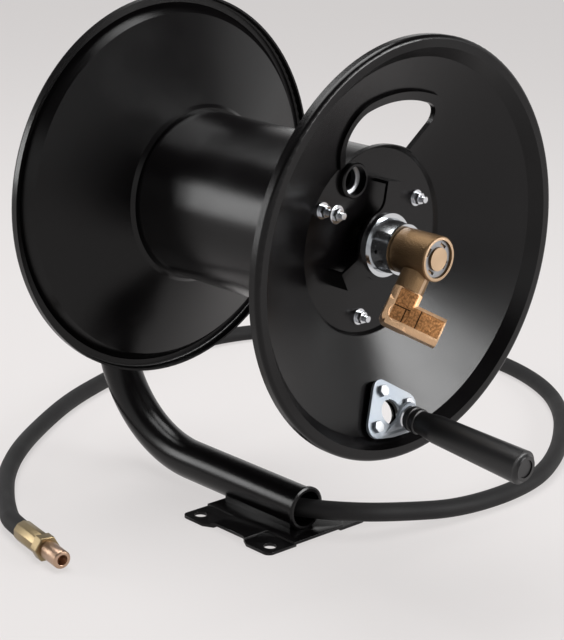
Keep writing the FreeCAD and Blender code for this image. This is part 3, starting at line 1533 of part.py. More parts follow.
# Lead hose: from inside the arm mouth, round the stand on the floor, to its crimped end
hosePoints = [
    (-3, 79, 22.5),
    (-5.2, 52, 21.9),
    (-6.7, 24, 21.5),
    (-7, -5, 21.6),
    (-2.3, -26.3, 22.8),
    (7, -46.2, 23.8),
    (20.3, -63.6, 24),
    (37.1, -77.6, 23),
    (56.5, -87.8, 21),
    (93, -98.5, 16),
    (133, -109, 11.3),
    (177, -114.5, 9.25),
    (227, -116, 9.25),
    (280, -108, 9.25),
    (341, -82, 9.25),
    (405, -42, 9.25),
    (464, 5, 9.25),
    (514, 64, 9.25),
    (546, 137, 9.25),
    (555, 214, 9.25),
    (539, 288, 9.25),
    (505, 355, 9.25),
    (456, 410, 9.25),
    (397, 446, 9.25),
    (330, 459, 9.25),
    (259, 453, 9.25),
    (188, 435, 9.25),
    (116, 410, 9.25),
    (44, 380, 9.25),
    (-23, 340, 9.25),
    (-90, 294, 9.25),
    (-144, 244, 9.25),
    (-183, 193, 9.25),
    (-209, 151, 10.3),
    (-218.5, 131, 11.25),
    (-226, 86, 11.25),
]
hoseRadius = S["hose_radius"].value


def roundedPath(points):
    # Straight runs joined by arcs that take 45 % of the shorter run on each side of a corner.
    spots = [FreeCAD.Vector(*p) for p in points]
    pieces = []
    here = spots[0]
    radii = []
    for before, corner, after in zip(spots, spots[1:], spots[2:]):
        back = (before - corner).normalize()
        on = (after - corner).normalize()
        reach = 0.45 * min((before - corner).Length, (after - corner).Length)
        turn = math.pi - math.acos(max(-1, min(1, back.dot(on))))
        radius = reach / math.tan(turn / 2)
        radii.append(round(radius))
        start = corner + back * reach
        stop = corner + on * reach
        inward = (back + on).normalize()
        depth = radius / math.cos(turn / 2) - radius
        pieces.append(Part.LineSegment(here, start).toShape())
        pieces.append(Part.Arc(start, corner + inward * depth, stop).toShape())
        here = stop
    pieces.append(Part.LineSegment(here, spots[-1]).toShape())
    return Part.Wire(pieces), radii


hosePath, hoseRadii = roundedPath(hosePoints)
startDirection = FreeCAD.Vector(*hosePoints[1]) - FreeCAD.Vector(*hosePoints[0])
hoseFace = Part.Wire(
    Part.Circle(FreeCAD.Vector(*hosePoints[0]), startDirection, hoseRadius).toShape()
)
hose = doc.addObject("Part::Feature", "lead_hose")
hose.Shape = hosePath.makePipeShell([hoseFace], True, False)
node("lead_hose", hose)
expected = math.pi * hoseRadius**2 * hosePath.Length
print("hose length", round(hosePath.Length), "bend radii", hoseRadii)
print("hose volume over section times length", round(hose.Shape.Volume / expected, 4))

# Crimped ferrule, nut and thread on the floor end, in line with the last run of the hose
lastRun = FreeCAD.Vector(*hosePoints[-1]) - FreeCAD.Vector(*hosePoints[-2])
fittingTurn = math.degrees(math.atan2(lastRun.x, -lastRun.y))


def hoseEndPart(label, points):
    body = newBody(label)
    tip = hosePoints[-1]
    place(body, tip[0], tip[1], S["hose_end_rise"], (0, 0, 1), fittingTurn)
    profile = newSketch(body, "YZ_Plane", "Profile")
    outline(profile, points)
    revolve(body, profile)
    return node(label, body)


nose, back = S["ferrule_nose"], S["ferrule_length"]
hoseEndPart(
    "hose_ferrule",
    [
        (0, 0),
        (0, S["hose_radius"]),
        (back, S["hose_radius"]),
        (back, S["ferrule_radius"] - 1),
        (back - 1, S["ferrule_radius"]),
        (1 - nose, S["ferrule_radius"]),
        (-nose, S["ferrule_radius"] - 1),
        (-nose, 0),
    ],
)
hoseNut = newBody("hose_nut")
place(hoseNut, hosePoints[-1][0], hosePoints[-1][1], S["hose_end_rise"], (0, 0, 1), fittingTurn)
hoseHex = newSketch(hoseNut, "XZ_Plane", "Hex", offset=nose)
hexagon(hoseHex, 0, 0, S["hose_nut_width"])
pad(hoseNut, hoseHex, S["hose_nut_length"], "Hex")
node("hose_nut", hoseNut)
root, nipple = nose + S["hose_nut_length"], S["nipple_radius"]
tip = root + S["nipple_length"]
hoseEndPart(
    "hose_nipple",
    [
        (-root, 0),
        (-root, nipple - 0.6),
        (-root - 2, nipple - 0.6),
        (-root - 3, nipple),
        (1.5 - tip, nipple),
        (-tip, nipple - 1.5),
        (-tip, S["nipple_bore"]),
        (S["nipple_depth"] - tip, S["nipple_bore"]),
        (S["nipple_depth"] - tip, 0),
    ],
)

# The parked end of the hose inside the arm
innerRun = FreeCAD.Vector(*hosePoints[0]) - FreeCAD.Vector(*hosePoints[1])
innerTurn = FreeCAD.Rotation(FreeCAD.Vector(0, 1, 0), innerRun)
innerEnd = newBody("hose_inner_end")
innerEnd.Placement = FreeCAD.Placement(FreeCAD.Vector(*hosePoints[0]), innerTurn)
innerProfile = newSketch(innerEnd, "YZ_Plane", "Profile")
outline(
    innerProfile,
    [
        (-24, S["hose_radius"]),
        (-24, S["ferrule_radius"] - 0.4),
        (8, S["ferrule_radius"] - 0.4),
        (8, 8.5),
        (30, 8.5),
        (30, 0),
        (0, 0),
        (0, S["hose_radius"]),
    ],
)
revolve(innerEnd, innerProfile)
node("hose_inner_end", innerEnd)

doc.recompute()
problems = []
for thing in doc.Objects:
    if "Invalid" in thing.State or "Error" in thing.State:
        problems.append(f"{thing.Label}: {thing.State} {thing.getStatusString()}")
for label, thing in nodes:
    shape = thing.Shape
    if shape.isNull() or not shape.isValid() or not shape.Solids:
        problems.append(f"{label}: shape is empty or not valid")
if problems:
    for line in problems:
        print(line)
    raise SystemExit("the model has faults")
os.makedirs("parts", exist_ok=True)
for label, thing in nodes:
    thing.Shape.exportStep(f"parts/{label}.step")
print(len(nodes), "parts written")
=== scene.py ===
import math

import bmesh
import bpy
from mathutils import Matrix, Vector


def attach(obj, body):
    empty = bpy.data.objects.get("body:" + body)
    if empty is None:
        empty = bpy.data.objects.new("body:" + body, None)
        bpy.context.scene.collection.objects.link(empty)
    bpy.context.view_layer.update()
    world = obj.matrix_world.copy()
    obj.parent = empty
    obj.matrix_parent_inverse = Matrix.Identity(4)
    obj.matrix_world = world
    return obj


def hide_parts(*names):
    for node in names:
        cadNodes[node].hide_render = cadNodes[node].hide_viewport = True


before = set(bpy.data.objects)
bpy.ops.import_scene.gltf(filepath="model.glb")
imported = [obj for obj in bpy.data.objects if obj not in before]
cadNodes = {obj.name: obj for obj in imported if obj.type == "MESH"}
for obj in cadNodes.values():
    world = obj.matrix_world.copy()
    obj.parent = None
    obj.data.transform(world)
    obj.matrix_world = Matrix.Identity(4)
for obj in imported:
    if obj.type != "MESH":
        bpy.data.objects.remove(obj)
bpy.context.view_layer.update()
scene = bpy.context.scene

# Camera at the photograph's angle
cameraSetup = {
    "place": (-1.1693, -1.1744, 0.6992),
    "right": (0.7164, -0.6966, 0.0388),
    "up": (0.1731, 0.2314, 0.9573),
    "look": (0.6759, 0.6791, -0.2863),
    "lens": 102.54,
    "sensor": 36.0,
    "farClip": 60.0,
}
cameraData = bpy.data.cameras.new("studioCamera")
cameraData.lens = cameraSetup["lens"]
cameraData.sensor_fit = "VERTICAL"
cameraData.sensor_height = cameraSetup["sensor"]
cameraData.clip_end = cameraSetup["farClip"]
studioCamera = bpy.data.objects.new("studioCamera", cameraData)
scene.collection.objects.link(studioCamera)
backwards = -Vector(cameraSetup["look"])
turn = Matrix((cameraSetup["right"], cameraSetup["up"], backwards)).transposed().to_4x4()
studioCamera.matrix_world = Matrix.Translation(cameraSetup["place"]) @ turn
scene.camera = studioCamera
print("camera placed")

# Lead hose: out of the arm mouth, round the stand on the floor, to its crimped end
hose = {
    "diameter": 0.0185,
    "length": 1.94,
    "smoothness": 16,
    "roundness": 8,
    "endLine": (-0.1644, -0.9864, 0.0),
    "route": [
        (-0.003, 0.079, 0.0225),
        (-0.0052, 0.052, 0.0219),
        (-0.0067, 0.024, 0.0215),
        (-0.007, -0.005, 0.0216),
        (-0.0023, -0.0263, 0.0228),
        (0.007, -0.0462, 0.0238),
        (0.0203, -0.0636, 0.024),
        (0.0371, -0.0776, 0.023),
        (0.0565, -0.0878, 0.021),
        (0.093, -0.0985, 0.016),
        (0.133, -0.109, 0.0113),
        (0.177, -0.1145, 0.00925),
        (0.227, -0.116, 0.00925),
        (0.280, -0.108, 0.00925),
        (0.341, -0.082, 0.00925),
        (0.405, -0.042, 0.00925),
        (0.464, 0.005, 0.00925),
        (0.514, 0.064, 0.00925),
        (0.546, 0.137, 0.00925),
        (0.555, 0.214, 0.00925),
        (0.539, 0.288, 0.00925),
        (0.505, 0.355, 0.00925),
        (0.456, 0.410, 0.00925),
        (0.397, 0.446, 0.00925),
        (0.330, 0.459, 0.00925),
        (0.259, 0.453, 0.00925),
        (0.188, 0.435, 0.00925),
        (0.116, 0.410, 0.00925),
        (0.044, 0.380, 0.00925),
        (-0.023, 0.340, 0.00925),
        (-0.090, 0.294, 0.00925),
        (-0.144, 0.244, 0.00925),
        (-0.183, 0.193, 0.00925),
        (-0.209, 0.151, 0.0103),
        (-0.2185, 0.131, 0.01125),
        (-0.226, 0.086, 0.01125),
    ],
}
hoseCurve = bpy.data.curves.new("leadHose", "CURVE")
hoseCurve.dimensions = "3D"
hoseCurve.resolution_u = hose["smoothness"]
hoseSpline = hoseCurve.splines.new("NURBS")
hoseSpline.points.add(len(hose["route"]) - 1)
# Each point's radius gives the hose its thickness, so the bevel depth is one
for spot, place in zip(hoseSpline.points, hose["route"]):
    spot.co = (*place, 1.0)
    spot.radius = hose["diameter"] / 2
hoseSpline.order_u = 3
hoseSpline.use_endpoint_u = True
hoseCurve.bevel_depth = 1.0
hoseCurve.bevel_resolution = hose["roundness"]
hoseCurve.use_fill_caps = True
leadHose = bpy.data.objects.new("leadHose", hoseCurve)
scene.collection.objects.link(leadHose)
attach(leadHose, "frame")
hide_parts("lead_hose")
print("hose laid")

# Studio: pale floor and walls under a dim ceiling, with a panel overhead, one in front and one behind
studio = {
    "floorSize": 26.0,
    "floorTone": (0.80, 0.772, 0.765),
    "floorBody": 0.22,
    "floorGlow": 0.74,
    "floorRough": 0.9,
    "roomTone": (1.0, 0.99, 0.985),
    "roomLight": 0.06,
    "wallLight": 0.80,
    "wallTop": (0.30, 0.50),
    "panels": [
        {
            "name": "overPanel",
            "place": (0.1, 0.5, 2.3),
            "aim": (0.0, 0.2, 0.0),
            "size": (1.8, 1.8),
            "power": 62,
        },
        {
            "name": "frontPanel",
            "place": (1.0, -2.0, 0.92),
            "aim": (0.0, -0.15, 0.25),
            "size": (1.2, 0.75),
            "power": 41,
        },
        {
            "name": "backPanel",
            "place": (-1.34, 1.46, 0.62),
            "aim": (0.0, 0.0, 0.3),
            "size": (0.5, 0.8),
            "power": 11,
        },
    ],
}
floorShape = bmesh.new()
bmesh.ops.create_grid(floorShape, x_segments=1, y_segments=1, size=studio["floorSize"] / 2)
floorMesh = bpy.data.meshes.new("studioFloor")
floorShape.to_mesh(floorMesh)
floorShape.free()
studioFloor = bpy.data.objects.new("studioFloor", floorMesh)
scene.collection.objects.link(studioFloor)

room = bpy.data.worlds.new("studioRoom")
scene.world = room
room.use_nodes = True
roomNodes = room.node_tree.nodes
roomLink = room.node_tree.links.new
roomNodes["Background"].inputs["Color"].default_value = (*studio["roomTone"], 1)
roomWay = roomNodes.new("ShaderNodeTexCoord")
roomHeight = roomNodes.new("ShaderNodeSeparateXYZ")
roomFall = roomNodes.new("ShaderNodeMapRange")
roomFall.interpolation_type = "SMOOTHSTEP"
roomFall.inputs["From Min"].default_value = studio["wallTop"][0]
roomFall.inputs["From Max"].default_value = studio["wallTop"][1]
roomFall.inputs["To Min"].default_value = studio["wallLight"]
roomFall.inputs["To Max"].default_value = studio["roomLight"]
roomLink(roomWay.outputs["Generated"], roomHeight.inputs[0])
roomLink(roomHeight.outputs["Z"], roomFall.inputs["Value"])
roomLink(roomFall.outputs["Result"], roomNodes["Background"].inputs["Strength"])

for panel in studio["panels"]:
    panelData = bpy.data.lights.new(panel["name"], "AREA")
    panelData.shape = "RECTANGLE"
    panelData.size, panelData.size_y = panel["size"]
    panelData.energy = panel["power"]
    panelLamp = bpy.data.objects.new(panel["name"], panelData)
    panelLamp.location = panel["place"]
    aim = Vector(panel["aim"]) - Vector(panel["place"])
    panelLamp.rotation_euler = aim.to_track_quat("-Z", "Y").to_euler()
    scene.collection.objects.link(panelLamp)

scene.view_settings.view_transform = "Standard"
print("studio lit")


# Small helpers for the shader nodes
def shaderGroup(name, takes, gives):
    group = bpy.data.node_groups.new(name, "ShaderNodeTree")
    for label, kind, value in takes:
        socket = group.interface.new_socket(label, in_out="INPUT", socket_type=kind)
        socket.default_value = value
    for label, kind in gives:
        group.interface.new_socket(label, in_out="OUTPUT", socket_type=kind)
    return group, group.nodes.new("NodeGroupInput"), group.nodes.new("NodeGroupOutput")


def mathNode(tree, operation, first, second=None):
    node = tree.nodes.new("ShaderNodeMath")
    node.operation = operation
    for socket, value in ((node.inputs[0], first), (node.inputs[1], second)):
        if value is None:
            continue
        if isinstance(value, (int, float)):
            socket.default_value = value
        else:
            tree.links.new(value, socket)
    return node.outputs[0]


def noiseAt(tree, place, detail=None):
    noise = tree.nodes.new("ShaderNodeTexNoise")
    tree.links.new(place, noise.inputs["Vector"])
    if detail is not None:
        noise.inputs["Detail"].default_value = detail
    return noise


def spreadOut(tree, value, lowest, highest):
    spread = tree.nodes.new("ShaderNodeMapRange")
    spread.inputs["From Min"].default_value = lowest
    spread.inputs["From Max"].default_value = highest
    tree.links.new(value, spread.inputs["Value"])
    return spread


def reachAlong(tree, coordinate, line):
    # How far a point lies along a line, or how much a face looks that way
    place = tree.nodes.new("ShaderNodeTexCoord")
    along = tree.nodes.new("ShaderNodeVectorMath")
    along.operation = "DOT_PRODUCT"
    tree.links.new(place.outputs[coordinate], along.inputs[0])
    tree.links.new(line, along.inputs[1])
    return along.outputs["Value"]


def ridgedNormal(group, takes, gives, reach, height):
    # Grooves one pitch apart, pressed into the group's normal
    turns = mathNode(group, "DIVIDE", reach, takes.outputs["Pitch"])
    ridge = mathNode(group, "PINGPONG", turns, 0.5)
    bump = group.nodes.new("ShaderNodeBump")
    bump.inputs["Distance"].default_value = height
    group.links.new(takes.outputs["Depth"], bump.inputs["Strength"])
    group.links.new(ridge, bump.inputs["Height"])
    group.links.new(bump.outputs["Normal"], gives.inputs["Normal"])


# Shared effects
effects = {
    "peelDetail": 2,
    "peelHeight": 0.0004,
    "patchScale": 14,
    "patchDetail": 5,
    "patchRange": (0.35, 0.65),
    "grooveHeight": 0.0006,
    "ringHeight": 0.0003,
    "ringCentre": (0.0, 0.006, 0.304),
}


def makeOrangePeel():
    # Fine dimples of sprayed and baked paint, with slow patches of gloss
    group, takes, gives = shaderGroup(
        "orangePeel",
        [
            ("Size", "NodeSocketFloat", 900.0),
            ("Depth", "NodeSocketFloat", 0.15),
            ("Roughest", "NodeSocketFloat", 0.5),
            ("Smoothest", "NodeSocketFloat", 0.35),
        ],
        [("Roughness", "NodeSocketFloat"), ("Patch", "NodeSocketFloat"), ("Normal", "NodeSocketVector")],
    )
    link = group.links.new
    place = group.nodes.new("ShaderNodeTexCoord").outputs["Object"]
    fine = noiseAt(group, place, effects["peelDetail"])
    link(takes.outputs["Size"], fine.inputs["Scale"])
    slow = noiseAt(group, place, effects["patchDetail"])
    slow.inputs["Scale"].default_value = effects["patchScale"]
    spread = spreadOut(group, slow.outputs["Fac"], *effects["patchRange"])
    link(takes.outputs["Smoothest"], spread.inputs["To Min"])
    link(takes.outputs["Roughest"], spread.inputs["To Max"])
    bump = group.nodes.new("ShaderNodeBump")
    bump.inputs["Distance"].default_value = effects["peelHeight"]
    link(takes.outputs["Depth"], bump.inputs["Strength"])
    link(fine.outputs["Fac"], bump.inputs["Height"])
    link(spread.outputs["Result"], gives.inputs["Roughness"])
    link(slow.outputs["Fac"], gives.inputs["Patch"])
    link(bump.outputs["Normal"], gives.inputs["Normal"])
    return group


def makeFacing():
    # A mask of the faces that look along a given line, either way
    group, takes, gives = shaderGroup(
        "facing",
        [("Line", "NodeSocketVector", (0.0, 1.0, 0.0)), ("Least", "NodeSocketFloat", 0.95)],
        [("Mask", "NodeSocketFloat")],
    )
    size = mathNode(group, "ABSOLUTE", reachAlong(group, "Normal", takes.outputs["Line"]))
    mask = mathNode(group, "GREATER_THAN", size, takes.outputs["Least"])
    group.links.new(mask, gives.inputs["Mask"])
    return group


def makeGrooves():
    # Fine grooves square to a line, as a thread
    group, takes, gives = shaderGroup(
        "grooves",
        [
            ("Line", "NodeSocketVector", (0.0, 1.0, 0.0)),
            ("Pitch", "NodeSocketFloat", 0.001),
            ("Depth", "NodeSocketFloat", 0.5),
        ],
        [("Normal", "NodeSocketVector")],
    )
    reach = reachAlong(group, "Object", takes.outputs["Line"])
    ridgedNormal(group, takes, gives, reach, effects["grooveHeight"])
    return group


def makeLatheRings():
    # Rings round the spool axis, as a lathe leaves them on an end face
    group, takes, gives = shaderGroup(
        "latheRings",
        [("Pitch", "NodeSocketFloat", 0.0006), ("Depth", "NodeSocketFloat", 0.3)],
        [("Normal", "NodeSocketVector")],
    )
    # The axis runs along y, so the radius leaves y out
    steps = (("SUBTRACT", effects["ringCentre"]), ("MULTIPLY", (1.0, 0.0, 1.0)))
    place = group.nodes.new("ShaderNodeTexCoord").outputs["Object"]
    for operation, value in steps:
        step = group.nodes.new("ShaderNodeVectorMath")
        step.operation = operation
        step.inputs[1].default_value = value
        group.links.new(place, step.inputs[0])
        place = step.outputs[0]
    radius = group.nodes.new("ShaderNodeVectorMath")
    radius.operation = "LENGTH"
    group.links.new(place, radius.inputs[0])
    ridgedNormal(group, takes, gives, radius.outputs["Value"], effects["ringHeight"])
    return group


def makeScore():
    # A mask of a straight scored line, at one level along a line, and a mask of all that lies below it
    group, takes, gives = shaderGroup(
        "score",
        [
            ("Line", "NodeSocketVector", (0.0, 1.0, 0.0)),
            ("Level", "NodeSocketFloat", 0.0),
            ("Width", "NodeSocketFloat", 0.0008),
        ],
        [("Mask", "NodeSocketFloat"), ("Below", "NodeSocketFloat")],
    )
    reach = reachAlong(group, "Object", takes.outputs["Line"])
    rise = mathNode(group, "SUBTRACT", reach, takes.outputs["Level"])
    gap = mathNode(group, "ABSOLUTE", rise)
    mask = mathNode(group, "LESS_THAN", gap, takes.outputs["Width"])
    below = mathNode(group, "LESS_THAN", rise, takes.outputs["Width"])
    group.links.new(mask, gives.inputs["Mask"])
    group.links.new(below, gives.inputs["Below"])
    return group


orangePeel = makeOrangePeel()
facing = makeFacing()
grooves = makeGrooves()
latheRings = makeLatheRings()
score = makeScore()
print("shared effects ready")


def newMaterial(name):
    material = bpy.data.materials.new(name)
    material.use_nodes = True
    return material, material.node_tree, material.node_tree.nodes["Principled BSDF"]


def copiedMaterial(name, finish):
    material = materials[finish].copy()
    material.name = name
    return material, material.node_tree, material.node_tree.nodes["Principled BSDF"]


def placeGroup(tree, group, **values):
    node = tree.nodes.new("ShaderNodeGroup")
    node.node_tree = group
    for label, value in values.items():
        node.inputs[label].default_value = value
    return node


def blend(tree, mask, first, second, kind="RGBA"):
    # From the first to the second, where each is a plain colour or another node's output
    mixer = tree.nodes.new("ShaderNodeMix")
    mixer.data_type = kind
    tree.links.new(mask, mixer.inputs["Factor"])
    for label, value in (("A", first), ("B", second)):
        if isinstance(value, tuple):
            mixer.inputs[label].default_value = (*value, 1)
        else:
            tree.links.new(value, mixer.inputs[label])
    return mixer.outputs["Result"]


def coatedMaterial(name, tone):
    # One finish of the reel, with its grain, gloss and slow change of colour
    material, tree, shader = newMaterial(name)
    peel = placeGroup(
        tree,
        orangePeel,
        Size=tone["grain"],
        Depth=tone["depth"],
        Roughest=tone["rough"][1],
        Smoothest=tone["rough"][0],
    )
    colour = blend(tree, peel.outputs["Patch"], tone["dark"], tone["pale"])
    tree.links.new(colour, shader.inputs["Base Color"])
    tree.links.new(peel.outputs["Roughness"], shader.inputs["Roughness"])
    tree.links.new(peel.outputs["Normal"], shader.inputs["Normal"])
    shader.inputs["Metallic"].default_value = tone["metal"]
    shader.inputs["Specular IOR Level"].default_value = tone["shine"]
    return material


finishes = {
    "powderBlack": {
        "grain": 1100.0,
        "depth": 0.2,
        "rough": (0.19, 0.25),
        "dark": (0.0020, 0.0017, 0.0019),
        "pale": (0.0036, 0.0031, 0.0034),
        "metal": 0.0,
        "shine": 0.25,
    },
    "brightZinc": {
        "grain": 1500.0,
        "depth": 0.05,
        "rough": (0.14, 0.24),
        "dark": (0.56, 0.58, 0.61),
        "pale": (0.74, 0.75, 0.77),
        "metal": 1.0,
        "shine": 0.5,
    },
    "blueZinc": {
        "grain": 1500.0,
        "depth": 0.06,
        "rough": (0.32, 0.44),
        "dark": (0.20, 0.26, 0.34),
        "pale": (0.54, 0.54, 0.53),
        "metal": 0.2,
        "shine": 0.4,
    },
    "cupZinc": {
        "grain": 1500.0,
        "depth": 0.03,
        "rough": (0.10, 0.16),
        "dark": (0.52, 0.55, 0.58),
        "pale": (0.70, 0.71, 0.72),
        "metal": 1.0,
        "shine": 0.5,
    },
    "dullZinc": {
        "grain": 1500.0,
        "depth": 0.08,
        "rough": (0.36, 0.48),
        "dark": (0.22, 0.23, 0.24),
        "pale": (0.34, 0.34, 0.35),
        "metal": 1.0,
        "shine": 0.5,
    },
    "castBrass": {
        "grain": 800.0,
        "depth": 0.9,
        "rough": (0.40, 0.54),
        "dark": (0.13, 0.078, 0.038),
        "pale": (0.29, 0.185, 0.098),
        "metal": 1.0,
        "shine": 0.5,
    },
    "yellowZinc": {
        "grain": 1400.0,
        "depth": 0.1,
        "rough": (0.3, 0.42),
        "dark": (0.17, 0.12, 0.065),
        "pale": (0.40, 0.32, 0.185),
        "metal": 1.0,
        "shine": 0.5,
    },
    "pinkZinc": {
        "grain": 1400.0,
        "depth": 0.1,
        "rough": (0.28, 0.4),
        "dark": (0.34, 0.19, 0.13),
        "pale": (0.62, 0.47, 0.34),
        "metal": 1.0,
        "shine": 0.5,
    },
    "turnedSteel": {
        "grain": 1500.0,
        "depth": 0.08,
        "rough": (0.26, 0.38),
        "dark": (0.42, 0.42, 0.43),
        "pale": (0.56, 0.56, 0.57),
        "metal": 1.0,
        "shine": 0.5,
    },
    "oiledBronze": {
        "grain": 1200.0,
        "depth": 0.2,
        "rough": (0.35, 0.5),
        "dark": (0.22, 0.13, 0.06),
        "pale": (0.34, 0.21, 0.10),
        "metal": 1.0,
        "shine": 0.5,
    },
    "hoseRubber": {
        "grain": 1600.0,
        "depth": 0.5,
        "rough": (0.55, 0.7),
        "dark": (0.0042, 0.0039, 0.0042),
        "pale": (0.0082, 0.0076, 0.0080),
        "metal": 0.0,
        "shine": 0.3,
    },
    "gripPlastic": {
        "grain": 2000.0,
        "depth": 0.25,
        "rough": (0.36, 0.46),
        "dark": (0.010, 0.0095, 0.010),
        "pale": (0.015, 0.0145, 0.015),
        "metal": 0.0,
        "shine": 0.5,
    },
}
materials = {name: coatedMaterial(name, tone) for name, tone in finishes.items()}

# Brass elbow: its lines run out of its broad side, up its neck and out of its mouth
elbow = {
    "middle": (-0.03104, -0.172, 0.2562),
    "side": (0.6134, 0.6820, -0.3983),
    "neck": (0.5446, 0.0, 0.8387),
    "mouth": (0.5720, -0.7314, -0.3714),
    "scores": [
        (("mouth", 0.0045), ("neck", 0.0055)),
        (("mouth", 0.0175), ("neck", 0.0130)),
        (("neck", 0.0055), ("mouth", 0.0080)),
    ],
    "scoreHalf": 0.0006,
    # Painted shade: the dark tone of the scored lines stands in for the shade in their grooves
    "paintedGrooveShade": (0.06, 0.028, 0.012),
    "panelDepth": 0.0105,
    "panelEdges": {"mouth": (-0.0075, 0.0385), "neck": (-0.0075, 0.0205)},
    "panel": (0.52, 0.25, 0.10),
    "panelShade": 0.5,
    "speckleScale": 500,
    "speckleRange": (0.38, 0.62),
    # Pale tone of the smooth edges: the brass's own paler colour, raised as painted highlight of the
    # light the chamfers catch
    "borderToneAndHighlight": (0.72, 0.47, 0.28),
    "grain": 650.0,
    "depth": 0.9,
    "rough": (0.36, 0.55),
}


def elbowScore(tree, label, level, half):
    line = Vector(elbow[label])
    middle = Vector(elbow["middle"]).dot(line)
    return placeGroup(tree, score, Line=line, Level=middle + level, Width=half)


def elbowMaterial():
    # Rough cast panels on the broad sides, with painted shade along their scored lines. The smooth edges
    # round them are pale, partly the brass's own tone and partly painted highlight of the light they
    # catch
    material, tree, shader = newMaterial("elbowBrass")
    peel = placeGroup(
        tree,
        orangePeel,
        Size=elbow["grain"],
        Depth=elbow["depth"],
        Roughest=elbow["rough"][1],
        Smoothest=elbow["rough"][0],
    )
    place = tree.nodes.new("ShaderNodeTexCoord").outputs["Object"]
    speckle = noiseAt(tree, place)
    speckle.inputs["Scale"].default_value = elbow["speckleScale"]
    spots = spreadOut(tree, speckle.outputs["Fac"], *elbow["speckleRange"])
    shade = tuple(part * elbow["panelShade"] for part in elbow["panel"])
    rough = blend(tree, spots.outputs["Result"], shade, elbow["panel"])

    lines = 0.0
    for across, limit in elbow["scores"]:
        mark = elbowScore(tree, *across, elbow["scoreHalf"]).outputs["Mask"]
        short = elbowScore(tree, *limit, elbow["scoreHalf"]).outputs["Below"]
        lines = mathNode(tree, "MAXIMUM", mathNode(tree, "MULTIPLY", mark, short), lines)
    inner = elbowScore(tree, "side", 0.0, elbow["panelDepth"])
    broad = mathNode(tree, "SUBTRACT", 1.0, inner.outputs["Mask"])
    for label, (first, last) in elbow["panelEdges"].items():
        before = elbowScore(tree, label, first, elbow["scoreHalf"]).outputs["Below"]
        within = elbowScore(tree, label, last, elbow["scoreHalf"]).outputs["Below"]
        broad = mathNode(tree, "MULTIPLY", broad, mathNode(tree, "SUBTRACT", 1.0, before))
        broad = mathNode(tree, "MULTIPLY", broad, within)
    # The scored lines are painted dark, as painted shade of their grooves
    panels = blend(tree, lines, rough, elbow["paintedGrooveShade"])
    # Everything outside the panels takes the pale border tone, partly the brass's own colour and partly
    # painted highlight
    colour = blend(tree, broad, elbow["borderToneAndHighlight"], panels)
    tree.links.new(colour, shader.inputs["Base Color"])
    tree.links.new(peel.outputs["Roughness"], shader.inputs["Roughness"])
    tree.links.new(peel.outputs["Normal"], shader.inputs["Normal"])
    shader.inputs["Metallic"].default_value = 1.0
    return material


# Turned brass: the finish of its sides, with a paler end face that a lathe left in rings
turnedEnds = {
    "finish": "castBrass",
    "line": (0.0, 1.0, 0.0),
    "least": 0.97,
    "pitch": 0.0009,
    "depth": 0.35,
    "pale": (0.46, 0.33, 0.22),
}


def turnedMaterial(name, look):
    material, tree, shader = copiedMaterial(name, look["finish"])
    ends = placeGroup(tree, facing, Line=look["line"], Least=look["least"]).outputs["Mask"]
    rings = placeGroup(tree, latheRings, Pitch=look["pitch"], Depth=look["depth"]).outputs["Normal"]
    sides = shader.inputs["Base Color"].links[0].from_socket
    plain = shader.inputs["Normal"].links[0].from_socket
    tree.links.new(blend(tree, ends, sides, look["pale"]), shader.inputs["Base Color"])
    tree.links.new(blend(tree, ends, plain, rings, "VECTOR"), shader.inputs["Normal"])
    return material


# Threads: a finish with fine grooves square to the thread's line
threads = {
    "rodThread": {"finish": "brightZinc", "line": (0.0, 1.0, 0.0), "pitch": 0.001, "depth": 0.8},
    "nippleThread": {"finish": "pinkZinc", "line": hose["endLine"], "pitch": 0.0014, "depth": 0.5},
}


def threadedMaterial(name, look):
    material, tree, shader = copiedMaterial(name, look["finish"])
    thread = placeGroup(tree, grooves, Line=look["line"], Pitch=look["pitch"], Depth=look["depth"])
    tree.links.new(thread.outputs["Normal"], shader.inputs["Normal"])
    return material


materials["elbowBrass"] = elbowMaterial()
materials["swivelBrass"] = turnedMaterial("swivelBrass", turnedEnds)
for name, look in threads.items():
    materials[name] = threadedMaterial(name, look)
slotFinish = {
    "black_paint": "powderBlack",
    "zinc": "brightZinc",
    "brass": "castBrass",
    "gold_zinc": "yellowZinc",
    "pink_zinc": "pinkZinc",
    "steel": "turnedSteel",
    "bronze": "oiledBronze",
    "hose_rubber": "hoseRubber",
    "grip_plastic": "gripPlastic",
}
for piece in cadNodes.values():
    for holder in piece.material_slots:
        holder.material = materials[slotFinish[holder.material.name.split(".")[0]]]
hoseCurve.materials.append(materials["hoseRubber"])
print("finishes applied")


def finishedPiece(name, shape, finish, body, sharp=None):
    # A worked shape made a piece, with smooth faces where a sharp angle is given
    if sharp:
        for face in shape.faces:
            face.smooth = True
    mesh = bpy.data.meshes.new(name)
    shape.to_mesh(mesh)
    shape.free()
    if sharp:
        mesh.set_sharp_from_angle(angle=math.radians(sharp))
    mesh.materials.append(materials[finish])
    piece = bpy.data.objects.new(name, mesh)
    scene.collection.objects.link(piece)
    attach(piece, body)
    return piece


def facingTurn(line):
    return Vector(line).to_track_quat("Z", "Y").to_matrix().to_4x4()


